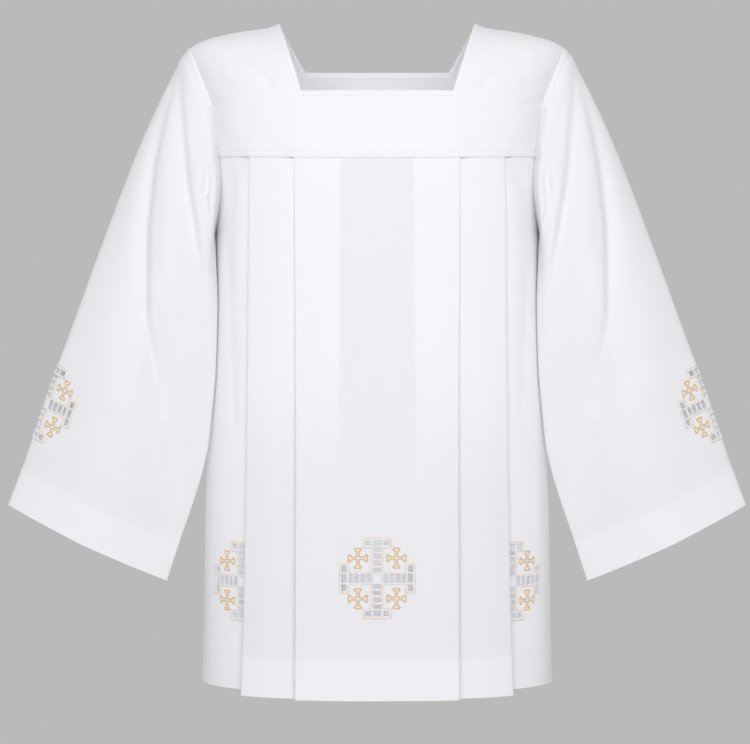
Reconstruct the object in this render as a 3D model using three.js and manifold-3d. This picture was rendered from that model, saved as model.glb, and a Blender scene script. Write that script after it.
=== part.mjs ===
// A cotta: a white surplice with a square neck, a yoke, pleated body panels and wide straight sleeves.
//
// Frame: millimetres, +Z up, +X to the wearer's left, the front faces -Y. The origin lies on the line
// of the shoulders, at the top of the neck opening, half way between front and back. "down" is the
// distance below that line. Right and left are the wearer's; the right side (-X) is worked out, and
// the left one is its mirror image.
//
// Every piece is a thin wall round a grid of points on the middle of the cloth. A grid's columns run
// left to right and its rows run downward, as seen from outside the garment.

import * as THREE from 'three';
import { mergeGeometries, mergeVertices } from 'three/addons/utils/BufferGeometryUtils.js';
import Module from 'manifold-3d';

const wasm = await Module();
wasm.setup();

// ---------------------------------------------------------------- driving dimensions, mm

const CLOTH = 1.2; // thickness of one layer of cloth
const HEM_TURN = 0.8; // extra thickness where the hem is turned up inside
const SEAM = 0.3; // gap between two pieces at a seam
const SEAM_LAP = 9; // how far the yokes reach down over the pleated panels
const LAP_CLEAR = 0.9; // gap between a yoke and the cloth it laps

const HEM_DOWN = 853; // level of the body's hem
const HEM_DEEP = 50; // depth of the turned-up hem
const SIDE_HEM_RISE = 6; // how much higher the hem hangs beside the outer pleats
const SIDE_HEM_RUN = 62; // length of that higher stretch, and of its return to the side seam's level
const HEM_LIFT_DOWN = 731; // level from which the side hem's rise is let in
const UNDERARM_DOWN = 275;
const YOKE_DOWN = 186.5; // lower edge of the yokes on the centre line
const YOKE_RISE = 8; // how much higher that edge is at the armholes
const YOKE_HALF = 200; // half the yokes' width along that edge
const NECK_DOWN = { front: 101, back: 50 }; // level of the neckline
const NECK_HALF = { front: 94, back: 96 }; // half the neck opening
const NECK_SHARE = 0.5; // share of a yoke's half that the neckline takes
const STRAP_SEAM_DOWN = { front: 108, back: 98 }; // level of a yoke's top edge at the armhole
const STRAP_SEAM_ACROSS = 210;
const YOKE_FOLD_REACH = 4; // how far past a pleat's fold the yoke stays flat
const SLEEVE_ROUND = 480; // length round the sleeve, for the width of its seams
const SLEEVE_CLEAR = 1.9; // from the middle of the body's cloth to the middle of the sleeve's cloth
const STRAP_SWING = 75; // degrees that a shoulder strap turns from the ridge to either yoke

// Level sections of the body: half width, depth to the front and to the back, and how square it is.
const TORSO = [
  { down: 40, side: 234, front: 76, back: 66, square: 3.0 },
  { down: 105, side: 216, front: 89, back: 86, square: 3.0 },
  { down: 187, side: 207, front: 107, back: 98, square: 2.9 },
  { down: 275, side: 203.5, front: 111, back: 104, square: 2.95 },
  { down: 420, side: 211, front: 114, back: 109, square: 2.85 },
  { down: 567, side: 219.5, front: 116, back: 114, square: 2.65 },
  { down: 731, side: 223, front: 118, back: 120, square: 2.5 },
  { down: 853, side: 225.5, front: 120, back: 125, square: 2.5 },
];

// Distance from one layer of a pleat to the next: pressed flat at the yoke, open at the hem.
const PLEAT_STEP = [
  { down: 160, step: 1.65 },
  { down: 275, step: 2.0 },
  { down: 567, step: 3.2 },
  { down: 853, step: 4.8 },
];

// Distance of each fold from the centre line, going down. Cloth runs out along the centre panel to
// panelEdge, back under it to panelHidden, out again to secondEdge, back to secondHidden and out.
const PLEAT_FOLDS = [
  { down: 186, panelEdge: 102, panelHidden: 45, secondEdge: 158.5, secondHidden: 106 },
  { down: 450, panelEdge: 99, panelHidden: 47, secondEdge: 159, secondHidden: 105 },
  { down: 731, panelEdge: 98, panelHidden: 49, secondEdge: 162.5, secondHidden: 106 },
  { down: 853, panelEdge: 98, panelHidden: 49, secondEdge: 165.5, secondHidden: 107 },
];

// Where the body's cloth ends at the armhole, as a distance from the centre line.
const ARMHOLE = [
  { down: 95, across: 211 },
  { down: 131, across: 206.5 },
  { down: 161, across: 202 },
  { down: 190, across: 199.5 },
  { down: 216, across: 198.5 },
  { down: 245, across: 200 },
  { down: 268, across: 202.6 },
  { down: 275, across: 203.5 },
];

// The shoulder's ridge, from the neck (at 0) to the top of the armhole (at 1).
const RIDGE = [
  { at: 0, across: 126, down: 0 },
  { at: 0.15, across: 143.5, down: 4.6 },
  { at: 0.45, across: 178.5, down: 9.6 },
  { at: 0.75, across: 213.5, down: 18 },
  { at: 0.9, across: 231, down: 24.5 },
  { at: 1, across: 243, down: 31.5 },
];

// The right sleeve's rings, each with its outer fold, its inner fold, half its depth and its
// roundness (2 is an ellipse, less has sharper folds). "forward" is the distance in front of the
// shoulder line.
const SLEEVE = [
  { outer: 247.5, outerDown: 34, outerForward: 0, inner: 206, innerDown: 275, innerForward: 0, deep: 46, round: 2.3 },
  { outer: 261.5, outerDown: 58.5, outerForward: 4, inner: 207.3, innerDown: 294, innerForward: 24, deep: 46, round: 2.15 },
  { outer: 278.5, outerDown: 94.5, outerForward: 12, inner: 205.6, innerDown: 323, innerForward: 42, deep: 45, round: 1.95 },
  { outer: 301, outerDown: 150.5, outerForward: 24, inner: 202.8, innerDown: 357, innerForward: 54, deep: 44, round: 1.78 },
  { outer: 323.5, outerDown: 212.5, outerForward: 36, inner: 201.6, innerDown: 392, innerForward: 60, deep: 43, round: 1.68 },
  { outer: 347.5, outerDown: 281, outerForward: 47, inner: 201.8, innerDown: 426, innerForward: 63, deep: 42, round: 1.62 },
  { outer: 370.5, outerDown: 347.5, outerForward: 55, inner: 203.7, innerDown: 462, innerForward: 63, deep: 41, round: 1.58 },
  { outer: 393.5, outerDown: 412.5, outerForward: 59, inner: 208.2, innerDown: 502, innerForward: 63, deep: 40, round: 1.56 },
  { outer: 407, outerDown: 449, outerForward: 61, inner: 212.2, innerDown: 540, innerForward: 63, deep: 39, round: 1.55 },
  { outer: 421, outerDown: 488.5, outerForward: 61, inner: 220.5, innerDown: 579, innerForward: 62, deep: 38, round: 1.55 },
  { outer: 436.5, outerDown: 534, outerForward: 61, inner: 234.5, innerDown: 624, innerForward: 62, deep: 38, round: 1.55 },
  { outer: 450, outerDown: 574, outerForward: 60, inner: 250, innerDown: 668, innerForward: 61, deep: 37, round: 1.55 },
  { outer: 467, outerDown: 619, outerForward: 60, inner: 265.5, innerDown: 715.5, innerForward: 60, deep: 36, round: 1.55 },
];
const SLEEVE_ROWS = SLEEVE.map((row, ring) => ({ ring, ...row }));
const SLEEVE_HEM_RING = 11; // the turned-up hem of the cuff starts at this ring
const CUFF_HEM_ROW = 11; // first row of the sleeve's grid that belongs to the turned-up hem
const CAP_RINGS = 4; // the armhole's own outline fades out over this many rings

// The sleeve's largest soft folds: valleys that run down its front, and like ones behind.
const SLEEVE_FOLDS = [
  { face: 'front', from: 252, fromDown: 100, to: 216, toDown: 345, bow: 5, wide: 13, deep: 5.5 },
  { face: 'front', from: 262, fromDown: 96, to: 284, toDown: 600, bow: 12, wide: 15, deep: 5 },
  { face: 'back', from: 256, fromDown: 110, to: 228, toDown: 420, bow: 6, wide: 15, deep: 5 },
  { face: 'back', from: 272, fromDown: 90, to: 318, toDown: 560, bow: 9, wide: 18, deep: 6 },
];

// Cutwork cross: sizes of its openings. The arms run from a plain square in the middle, each with a
// row of openings, and end in caps with three more.
const CROSS = {
  armCount: 4,
  uprightFirst: 9.8,
  uprightPitch: 8.4,
  uprightWide: 10.1,
  uprightHigh: 6.2,
  levelFirst: 9.8,
  levelPitch: 7.65,
  levelWide: 5.7,
  levelHigh: 11,
  endUp: 43,
  endUpHigh: 6.2,
  endUpMiddle: 9.5,
  endUpSide: 8,
  endUpSideAt: 10.9,
  endOut: 40,
  endOutWide: 5.7,
  endOutMiddle: 11,
  endOutSide: 8,
  endOutSideAt: 11.6,
};
const CENTRE_CROSS_DOWN = 704;
const SIDE_CROSS = { across: 168, down: 713 };
const SLEEVE_CROSS_DOWN = 488.5; // level of the sleeve's cross, on the outer fold
const SLEEVE_CROSS_ROUND = 3.5; // from the outer fold to the cross's middle, towards the front
const SLEEVE_LEAN = 20.6; // degrees between the outer fold and the vertical at the cross
const PANEL_CUT = 1.7; // reach of a cutter each side of the cloth, short of the next layer of a pleat
const SLEEVE_CUT = 6; // the same on a sleeve, where the cross goes round a fold

// ---------------------------------------------------------------- colours

const WHITE_COTTON = new THREE.MeshStandardMaterial({ color: 0xf1f1f6, roughness: 0.85, metalness: 0 });

// ---------------------------------------------------------------- small tools

const mix = (from, to, share) => from + (to - from) * share;
const clamp = (value) => Math.min(Math.max(value, 0), 1);
const ease = (value) => clamp(value) ** 2 * (3 - 2 * clamp(value));

/** Reads a table column at a position, on a smooth curve through the table's rows. */
function readTable(table, position, where, column) {
  const last = table.length - 1;
  let row = 0;
  while (row < last - 1 && table[row + 1][position] < where) row += 1;
  const slope = (index) => {
    const before = table[Math.max(index - 1, 0)];
    const after = table[Math.min(index + 1, last)];
    return (after[column] - before[column]) / (after[position] - before[position]);
  };
  const start = table[row];
  const end = table[row + 1];
  const span = end[position] - start[position];
  const t = clamp((where - start[position]) / span);
  const rise = end[column] - start[column];
  const bend = (1 - t) * (slope(row) * span - rise) + t * (rise - slope(row + 1) * span);
  return start[column] + rise * t + t * (1 - t) * bend;
}

/** Point at a distance along a run of points that carry their own distance "length". */
function pointAlong(run, distance) {
  let low = 0;
  let high = run.length - 1;
  while (high - low > 1) {
    const middle = (low + high) >> 1;
    if (run[middle].length > distance) high = middle;
    else low = middle;
  }
  const share = (distance - run[low].length) / (run[high].length - run[low].length);
  return new THREE.Vector3().lerpVectors(run[low].point, run[high].point, share);
}

/** Gives each point of a run its distance along the run. */
function measureRun(points) {
  let length = 0;
  return points.map((point, index) => {
    if (index > 0) length += point.distanceTo(points[index - 1]);
    return { point, length };
  });
}

const remembered = new Map();

/** Works a value out once and keeps it under its key. */
function remember(key, work) {
  if (!remembered.has(key)) remembered.set(key, work());
  return remembered.get(key);
}

// ---------------------------------------------------------------- the body's form

/** One quarter of a level section, from the centre line round to the side, in plan. */
function quarterSection(face, down) {
  return remember(`${face} ${down.toFixed(4)}`, () => {
    const side = readTable(TORSO, 'down', down, 'side');
    const depth = readTable(TORSO, 'down', down, face);
    const power = 2 / readTable(TORSO, 'down', down, 'square');
    const samples = 240;
    const points = [];
    for (let index = 0; index <= samples; index += 1) {
      const turn = (ease(index / samples) * Math.PI) / 2;
      points.push(new THREE.Vector3(side * Math.sin(turn) ** power, depth * Math.cos(turn) ** power, 0));
    }
    points[samples].y = 0;
    return measureRun(points);
  });
}

/** Distance round the section of the point that lies this far across from the centre line. */
function arcAt(face, down, across) {
  const run = quarterSection(face, down);
  const index = Math.max(run.findIndex((sample) => sample.point.x >= across), 1);
  const before = run[index - 1];
  const after = run[index];
  const share = (across - before.point.x) / (after.point.x - before.point.x);
  return mix(before.length, after.length, share);
}

/** Distance round the section from the centre line to the side seam. */
function arcToSide(face, down) {
  return quarterSection(face, down).at(-1).length;
}

/** Point on the body, "lift" outside its innermost layer. A negative arc lies on the right side. */
function bodyPoint(face, down, arc, lift) {
  const run = quarterSection(face, down);
  const side = Math.sign(arc) || 1;
  const distance = Math.min(Math.abs(arc), run.at(-1).length);
  const point = pointAlong(run, distance);
  const reach = 3;
  const ahead = pointAlong(run, Math.min(distance + reach, run.at(-1).length));
  const behind = pointAlong(run, Math.max(distance - reach, 0));
  const along = ahead.sub(behind).normalize();
  if (distance < reach) along.set(1, along.y * (distance / reach), 0).normalize();
  const x = point.x - along.y * lift;
  const y = point.y + along.x * lift;
  return new THREE.Vector3(side * x, face === 'front' ? -y : y, -down);
}

const pleatStep = (down) => readTable(PLEAT_STEP, 'down', down, 'step');

/** Arc positions of the folds at a level. */
function foldArcs(face, down) {
  const arc = (column) => arcAt(face, down, readTable(PLEAT_FOLDS, 'down', down, column));
  return {
    panelEdge: arc('panelEdge'),
    panelHidden: arc('panelHidden'),
    secondEdge: arc('secondEdge'),
    secondHidden: arc('secondHidden'),
  };
}

/** Half a pleated row: arcs and lifts from the centre line out to the given arc. */
function pleatedHalf(face, down, endArc) {
  const step = pleatStep(down);
  const radius = step / 2;
  const fold = foldArcs(face, down);
  const profile = [];
  const flat = (from, to, layer, spans) => {
    for (let index = 0; index < spans; index += 1) {
      profile.push({ arc: mix(from, to, index / spans), lift: layer * step });
    }
  };
  const turn = (centre, layer, outward) => {
    for (let index = 0; index < 3; index += 1) {
      const angle = Math.PI / 2 - (index * Math.PI) / 3;
      const arc = centre + outward * radius * Math.cos(angle);
      profile.push({ arc, lift: (layer - 0.5) * step + radius * Math.sin(angle) });
    }
  };
  const panelEdge = fold.panelEdge - radius;
  const panelHidden = fold.panelHidden + radius;
  const secondEdge = fold.secondEdge - radius;
  const secondHidden = fold.secondHidden + radius;
  flat(0, panelEdge, 4, 3);
  turn(panelEdge, 4, 1);
  flat(panelEdge, panelHidden, 3, 2);
  turn(panelHidden, 3, -1);
  flat(panelHidden, secondEdge, 2, 4);
  turn(secondEdge, 2, 1);
  flat(secondEdge, secondHidden, 1, 2);
  turn(secondHidden, 1, -1);
  flat(secondHidden, endArc, 0, 6);
  profile.push({ arc: endArc, lift: 0 });
  return profile;
}

// ---------------------------------------------------------------- seams and edges

/** Level of the yoke's lower edge at a distance from the centre line. */
const yokeEdgeDown = (across) => YOKE_DOWN - YOKE_RISE * (across / YOKE_HALF) ** 3;

/** Arc at which the body's cloth ends at a level: the armhole, or the side seam below it. */
function bodyEndArc(face, down) {
  const sideArc = arcToSide(face, down) - SEAM / 2;
  if (down >= UNDERARM_DOWN) return sideArc;
  return Math.min(arcAt(face, down, readTable(ARMHOLE, 'down', down, 'across')), sideArc);
}

/** How far a yoke stands outside the body's innermost layer, so that it clears the pleats. */
function yokeLift(face, down, arc) {
  const step = pleatStep(YOKE_DOWN);
  const overCloth = CLOTH + LAP_CLEAR;
  const fold = foldArcs(face, YOKE_DOWN);
  const endArc = bodyEndArc(face, Math.min(Math.max(down, STRAP_SEAM_DOWN[face]), YOKE_DOWN));
  const flatTo = fold.panelEdge + YOKE_FOLD_REACH;
  const secondTo = fold.secondEdge + YOKE_FOLD_REACH;
  const distance = Math.abs(arc);
  if (distance <= flatTo) return overCloth + 4 * step;
  if (distance <= secondTo) {
    return overCloth + step * mix(4, 2, (distance - flatTo) / (secondTo - flatTo));
  }
  return overCloth + step * mix(2, 0, clamp((distance - secondTo) / (endArc - secondTo)));
}

/** Upper edge of a yoke: level at a distance from the centre line. */
function yokeTopDown(face, across) {
  const outward = clamp((across - NECK_HALF[face]) / (STRAP_SEAM_ACROSS - NECK_HALF[face]));
  return mix(NECK_DOWN[face], STRAP_SEAM_DOWN[face], outward);
}

/** Distance from the centre line of a yoke's column, where the armhole lies armAcross from it. */
function yokeAcross(face, size, armAcross) {
  if (size < NECK_SHARE) return (NECK_HALF[face] * size) / NECK_SHARE;
  return mix(NECK_HALF[face], armAcross, (size - NECK_SHARE) / (1 - NECK_SHARE));
}

/** Point on a yoke: share runs -1..1 from the right armhole to the left, fall 0..1 downward. */
function yokePoint(face, share, fall) {
  const size = Math.abs(share);
  const armholeAt = (level) => readTable(ARMHOLE, 'down', level, 'across');
  const topDown = yokeTopDown(face, yokeAcross(face, size, armholeAt(STRAP_SEAM_DOWN[face])));
  const edgeDown = yokeEdgeDown(yokeAcross(face, size, armholeAt(yokeEdgeDown(YOKE_HALF))));
  const down = mix(topDown, edgeDown, fall);
  const across = yokeAcross(face, size, armholeAt(down));
  const arc = arcAt(face, down, across);
  return bodyPoint(face, down, Math.sign(share) * arc, yokeLift(face, down, arc));
}

/** Point on the right shoulder strap. share runs 0..1 from neck to armhole; turn runs from -1 at
 *  the back yoke over the ridge at 0 to 1 at the front yoke. */
function strapPoint(share, turn) {
  const face = turn < 0 ? 'back' : 'front';
  const foot = yokePoint(face, -mix(NECK_SHARE, 1, share), 0);
  const ridge = new THREE.Vector3(
    -readTable(RIDGE, 'at', share, 'across'),
    0,
    -readTable(RIDGE, 'at', share, 'down'),
  );
  const full = THREE.MathUtils.degToRad(STRAP_SWING);
  const swing = Math.abs(turn) * full;
  const fallen = (1 - Math.cos(swing)) / (1 - Math.cos(full));
  return new THREE.Vector3(
    mix(ridge.x, foot.x, fallen),
    (foot.y * Math.sin(swing)) / Math.sin(full),
    mix(ridge.z, foot.z, fallen),
  );
}

/** The right armhole's outline on one face, from the shoulder's ridge down to the underarm. */
function armholeRun(face) {
  return remember(`armhole ${face}`, () => {
    const sign = face === 'front' ? 1 : -1;
    const points = [];
    for (let index = 0; index <= 12; index += 1) points.push(strapPoint(1, (sign * index) / 12));
    for (let index = 1; index <= 8; index += 1) points.push(yokePoint(face, -1, index / 8));
    const from = yokeEdgeDown(YOKE_HALF);
    for (let index = 1; index <= 24; index += 1) {
      const down = mix(from, UNDERARM_DOWN, Math.sin((index / 24) * (Math.PI / 2)));
      points.push(bodyPoint(face, down, -bodyEndArc(face, down), 0));
    }
    return measureRun(points);
  });
}

// ---------------------------------------------------------------- the sleeve's form

/** Half of a sleeve ring, evenly spaced by length from the outer fold to the inner fold, as plain
 *  pairs: how far in (0..1) and how deep (0..1). */
function halfRing(ring) {
  return remember(`ring ${ring.toFixed(4)}`, () => {
    const read = (column) => readTable(SLEEVE_ROWS, 'ring', ring, column);
    const wide = Math.hypot(read('outer') - read('inner'), read('innerDown') - read('outerDown'));
    const power = 2 / read('round');
    const samples = 200;
    const points = [];
    for (let index = 0; index <= samples; index += 1) {
      const angle = (index / samples) * Math.PI;
      const across = Math.sign(Math.cos(angle)) * Math.abs(Math.cos(angle)) ** power;
      points.push(new THREE.Vector3((wide * (1 - across)) / 2, read('deep') * Math.sin(angle) ** power, 0));
    }
    return { run: measureRun(points), wide };
  });
}

/** Depth of the soft folds at a point of the right sleeve. */
function foldDepth(face, across, down) {
  let depth = 0;
  for (const fold of SLEEVE_FOLDS.filter((entry) => entry.face === face)) {
    const share = (down - fold.fromDown) / (fold.toDown - fold.fromDown);
    if (share <= 0 || share >= 1) continue;
    const line = mix(fold.from, fold.to, share) + fold.bow * Math.sin(share * Math.PI);
    const fade = Math.sin(share * Math.PI) ** 0.7;
    depth += fold.deep * fade * Math.exp(-(((across - line) / fold.wide) ** 2));
  }
  return depth;
}

/** Point on the right sleeve. around runs 0..1 from the outer fold over the front (0.25), the inner
 *  fold (0.5) and the back (0.75). */
function sleevePoint(ring, around) {
  const read = (column) => readTable(SLEEVE_ROWS, 'ring', ring, column);
  const share = ((around % 1) + 1) % 1;
  const face = share <= 0.5 ? 'front' : 'back';
  const half = share <= 0.5 ? share * 2 : (1 - share) * 2;
  const { run, wide } = halfRing(ring);
  const flat = pointAlong(run, half * run.at(-1).length);
  const inward = flat.x / wide;
  const forward = mix(read('outerForward'), read('innerForward'), inward);
  const sign = face === 'front' ? -1 : 1;
  const point = new THREE.Vector3(
    -mix(read('outer'), read('inner'), inward),
    -forward + sign * flat.y,
    -mix(read('outerDown'), read('innerDown'), inward),
  );
  const shoulder = 1 - ease(ring / CAP_RINGS);
  if (shoulder > 0) {
    const plain = ring === 0 ? point : sleeveStart(share);
    point.addScaledVector(armholePoint(face, half).sub(plain), shoulder);
  }
  const valley = foldDepth(face, -point.x, -point.z) * Math.sin(half * Math.PI) ** 0.5;
  point.y -= sign * valley * (1 - shoulder);
  return point;
}

/** Point of the sleeve's first ring before it is fitted to the armhole. */
function sleeveStart(share) {
  const first = SLEEVE[0];
  const half = share <= 0.5 ? share * 2 : (1 - share) * 2;
  const { run, wide } = halfRing(0);
  const flat = pointAlong(run, half * run.at(-1).length);
  const inward = flat.x / wide;
  const sign = share <= 0.5 ? -1 : 1;
  return new THREE.Vector3(
    -mix(first.outer, first.inner, inward),
    -mix(first.outerForward, first.innerForward, inward) + sign * flat.y,
    -mix(first.outerDown, first.innerDown, inward),
  );
}

/** Point where the sleeve is set into the armhole, just clear of the body's cloth. */
function armholePoint(face, half) {
  const run = armholeRun(face);
  const point = pointAlong(run, half * run.at(-1).length);
  point.x -= SLEEVE_CLEAR;
  return point;
}

// ---------------------------------------------------------------- walls

/** Outward direction of a grid at one of its points. */
function gridNormal(grid, row, column) {
  const lastRow = grid.length - 1;
  const lastColumn = grid[0].length - 1;
  const right = grid[row][Math.min(column + 1, lastColumn)].clone();
  right.sub(grid[row][Math.max(column - 1, 0)]);
  const fall = grid[Math.min(row + 1, lastRow)][column].clone();
  fall.sub(grid[Math.max(row - 1, 0)][column]);
  return fall.cross(right).normalize();
}

/** Closed wall round a grid of mid-cloth points. "extra" is a row's added thickness inside; "spare"
 *  counts the columns at either side that only steer the wall's direction and get no cloth. */
function wall(grid, extra = () => 0, spare = 0) {
  const rows = grid.length;
  const columns = grid[0].length - 2 * spare;
  const positions = [];
  for (const layer of [1, -1]) {
    for (let row = 0; row < rows; row += 1) {
      const reach = layer > 0 ? CLOTH / 2 : CLOTH / 2 + extra(row);
      for (let column = spare; column < columns + spare; column += 1) {
        const point = grid[row][column].clone();
        point.addScaledVector(gridNormal(grid, row, column), layer * reach);
        positions.push(point.x, point.y, point.z);
      }
    }
  }
  const outer = (row, column) => row * columns + column;
  const inner = (row, column) => rows * columns + row * columns + column;
  const index = [];
  const quad = (a, b, c, d) => index.push(a, b, c, a, c, d);
  for (let row = 0; row + 1 < rows; row += 1) {
    for (let column = 0; column + 1 < columns; column += 1) {
      quad(outer(row, column), outer(row + 1, column), outer(row + 1, column + 1), outer(row, column + 1));
      quad(inner(row, column), inner(row, column + 1), inner(row + 1, column + 1), inner(row + 1, column));
    }
    const end = columns - 1;
    quad(inner(row, 0), inner(row + 1, 0), outer(row + 1, 0), outer(row, 0));
    quad(outer(row, end), outer(row + 1, end), inner(row + 1, end), inner(row, end));
  }
  for (let column = 0; column + 1 < columns; column += 1) {
    const foot = rows - 1;
    quad(outer(0, column), outer(0, column + 1), inner(0, column + 1), inner(0, column));
    quad(outer(foot, column + 1), outer(foot, column), inner(foot, column), inner(foot, column + 1));
  }
  const geometry = new THREE.BufferGeometry();
  geometry.setAttribute('position', new THREE.Float32BufferAttribute(positions, 3));
  geometry.setIndex(index);
  return geometry;
}

/** The same piece on the other side of the garment. */
function mirrored(geometry) {
  const copy = geometry.clone().scale(-1, 1, 1);
  const corners = Array.from(copy.index.array);
  for (let first = 0; first < corners.length; first += 3) {
    [corners[first + 1], corners[first + 2]] = [corners[first + 2], corners[first + 1]];
  }
  copy.setIndex(corners);
  return copy;
}

// ---------------------------------------------------------------- cutwork

/** The openings of one cutwork cross: centre (u, v) and size of each. */
function crossOpenings() {
  const openings = [];
  const add = (u, v, wide, high) => openings.push({ u, v, wide, high });
  for (const side of [-1, 1]) {
    for (let index = 0; index < CROSS.armCount; index += 1) {
      const up = side * (CROSS.uprightFirst + index * CROSS.uprightPitch);
      const out = side * (CROSS.levelFirst + index * CROSS.levelPitch);
      add(0, up, CROSS.uprightWide, CROSS.uprightHigh);
      add(out, 0, CROSS.levelWide, CROSS.levelHigh);
    }
    add(0, side * CROSS.endUp, CROSS.endUpMiddle, CROSS.endUpHigh);
    add(side * CROSS.endOut, 0, CROSS.endOutWide, CROSS.endOutMiddle);
    for (const end of [-1, 1]) {
      add(end * CROSS.endUpSideAt, side * CROSS.endUp, CROSS.endUpSide, CROSS.endUpHigh);
      add(side * CROSS.endOut, end * CROSS.endOutSideAt, CROSS.endOutWide, CROSS.endOutSide);
    }
  }
  return openings;
}

/** Cutters for one cross. place(u, v) gives a point on the cloth, u to the right and v upward;
 *  reach is how far a cutter goes each side of the cloth's middle. */
function crossCutters(place, reach) {
  return crossOpenings().map(({ u, v, wide, high }) => {
    const right = place(u + wide / 2, v).sub(place(u - wide / 2, v));
    const up = place(u, v + high / 2).sub(place(u, v - high / 2));
    const box = new THREE.BoxGeometry(right.length(), up.length(), 2 * reach);
    const out = right.normalize().clone().cross(up).normalize();
    up.crossVectors(out, right);
    const frame = new THREE.Matrix4().makeBasis(right, up, out).setPosition(place(u, v));
    return box.applyMatrix4(frame);
  });
}

/** Turns a closed geometry into a solid. */
function toSolid(geometry) {
  const bare = geometry.clone();
  bare.deleteAttribute('normal');
  bare.deleteAttribute('uv');
  const merged = mergeVertices(bare, 1e-4);
  const vertProperties = new Float32Array(merged.attributes.position.array);
  const triVerts = new Uint32Array(merged.index.array);
  return new wasm.Manifold(new wasm.Mesh({ numProp: 3, vertProperties, triVerts }));
}

/** Cuts the openings out of a wall. */
function cutOut(geometry, cutters) {
  const cut = toSolid(geometry).subtract(toSolid(mergeGeometries(cutters))).getMesh();
  const result = new THREE.BufferGeometry();
  result.setAttribute('position', new THREE.Float32BufferAttribute(cut.vertProperties, 3));
  result.setIndex(Array.from(cut.triVerts));
  return result;
}

// ---------------------------------------------------------------- pieces

/** Rows of a body panel: level on the centre line, and how far that row follows the yoke's edge. */
function bodyRows() {
  const top = YOKE_DOWN - SEAM_LAP;
  const hemLine = HEM_DOWN - HEM_DEEP;
  const levels = [top, 205, 235, 258, 270, UNDERARM_DOWN + 1, 340, 450, 590, HEM_LIFT_DOWN];
  return [...levels, hemLine - 1, hemLine + 1, HEM_DOWN];
}

/** Grid of a pleated body panel. */
function bodyGrid(face) {
  const rows = bodyRows();
  return rows.map((level) => {
    const follow = 1 - ease((level - rows[0]) / (UNDERARM_DOWN - rows[0]));
    const levelAt = (across) => level - follow * YOKE_RISE * (across / YOKE_HALF) ** 3;
    const right = pleatedHalf(face, level, bodyEndArc(face, levelAt(YOKE_HALF)));
    const secondArc = foldArcs(face, level).secondEdge;
    const place = (side) => ({ arc, lift }) => {
      const onSide = lift < pleatStep(level) / 2;
      const hem = ease((level - HEM_LIFT_DOWN) / (HEM_DOWN - HEM_LIFT_DOWN));
      const beside = onSide ? 1 - ease((arc - secondArc - SIDE_HEM_RUN) / SIDE_HEM_RUN) : 0;
      const across = Math.min(arc, YOKE_HALF);
      const down = levelAt(across) - SIDE_HEM_RISE * hem * beside;
      return bodyPoint(face, down, side * arc, lift);
    };
    const toRight = right.slice(1).reverse().map(place(-1));
    const toLeft = right.map(place(1));
    const row = [...toRight, ...toLeft];
    return face === 'front' ? row : row.reverse();
  });
}

/** A pleated body panel with its turned-up hem. */
function bodyPanel(face) {
  const rows = bodyRows();
  const hemRow = rows.length - 2;
  return wall(bodyGrid(face), (row) => (row >= hemRow ? HEM_TURN : 0));
}

/** The front panel with its three crosses. */
function frontPanel() {
  const centre = (u, v) => {
    const down = CENTRE_CROSS_DOWN - v;
    return bodyPoint('front', down, u, 4 * pleatStep(down));
  };
  const beside = (side) => (u, v) => {
    const down = SIDE_CROSS.down - v;
    const middle = side * arcAt('front', SIDE_CROSS.down, SIDE_CROSS.across);
    return bodyPoint('front', down, middle + u, 0);
  };
  const cutters = [centre, beside(-1), beside(1)].flatMap((place) => crossCutters(place, PANEL_CUT));
  return cutOut(bodyPanel('front'), cutters);
}

/** A yoke across the chest or the back. */
function yoke(face) {
  const shares = [-1, -0.93, -0.86, -0.78, -0.69, -0.6, -0.5, -0.3, -0.1];
  const columns = [...shares, ...shares.map((share) => -share).reverse()];
  if (face === 'back') columns.reverse();
  const falls = [0, 0.2, 0.4, 0.6, 0.8, 1];
  return wall(falls.map((fall) => columns.map((share) => yokePoint(face, share, fall))));
}

/** Grid of the right shoulder strap. */
function strapGrid() {
  const spans = 14;
  const shares = [1, 0.9, 0.75, 0.6, 0.45, 0.3, 0.15, 0];
  const grid = [];
  for (let row = 0; row <= spans; row += 1) {
    const turn = mix(-1, 1, row / spans);
    grid.push(shares.map((share) => strapPoint(share, turn)));
  }
  for (const end of [0, spans]) {
    const inward = end === 0 ? 1 : spans - 1;
    grid[end].forEach((point, column) => {
      const back = grid[inward][column].clone().sub(point).normalize();
      point.addScaledVector(back, SEAM);
    });
  }
  return grid;
}

/** Grid of one half of the right sleeve, between two places round it, with a spare column beyond
 *  each, so that both halves' walls meet squarely at their seams. */
function sleeveGrid(from, to) {
  const hemRing = SLEEVE_HEM_RING;
  const last = SLEEVE.length - 1;
  const rings = [0, 0.6, 1.3, 2.2, 3.3, 4.5, 6, 7.5, 9, 10, hemRing - 0.03, hemRing + 0.03, last];
  const columns = 12;
  const parting = SEAM / 2 / SLEEVE_ROUND;
  return rings.map((ring) => {
    const row = [];
    for (let column = -1; column <= columns + 1; column += 1) {
      const around = mix(from + parting, to - parting, column / columns);
      row.push(sleevePoint(ring, around));
    }
    return row;
  });
}

/** Point on the right sleeve's outer fold and round it: u forward round the sleeve, v up the fold. */
function sleeveCrossPoint(u, v) {
  const down = SLEEVE_CROSS_DOWN - v * Math.cos(THREE.MathUtils.degToRad(SLEEVE_LEAN));
  let low = 0;
  let high = SLEEVE.length - 1;
  for (let halving = 0; halving < 24; halving += 1) {
    const middle = (low + high) / 2;
    if (readTable(SLEEVE_ROWS, 'ring', middle, 'outerDown') < down) low = middle;
    else high = middle;
  }
  const round = 2 * halfRing(low).run.at(-1).length;
  return sleevePoint(low, (u + SLEEVE_CROSS_ROUND) / round);
}

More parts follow.
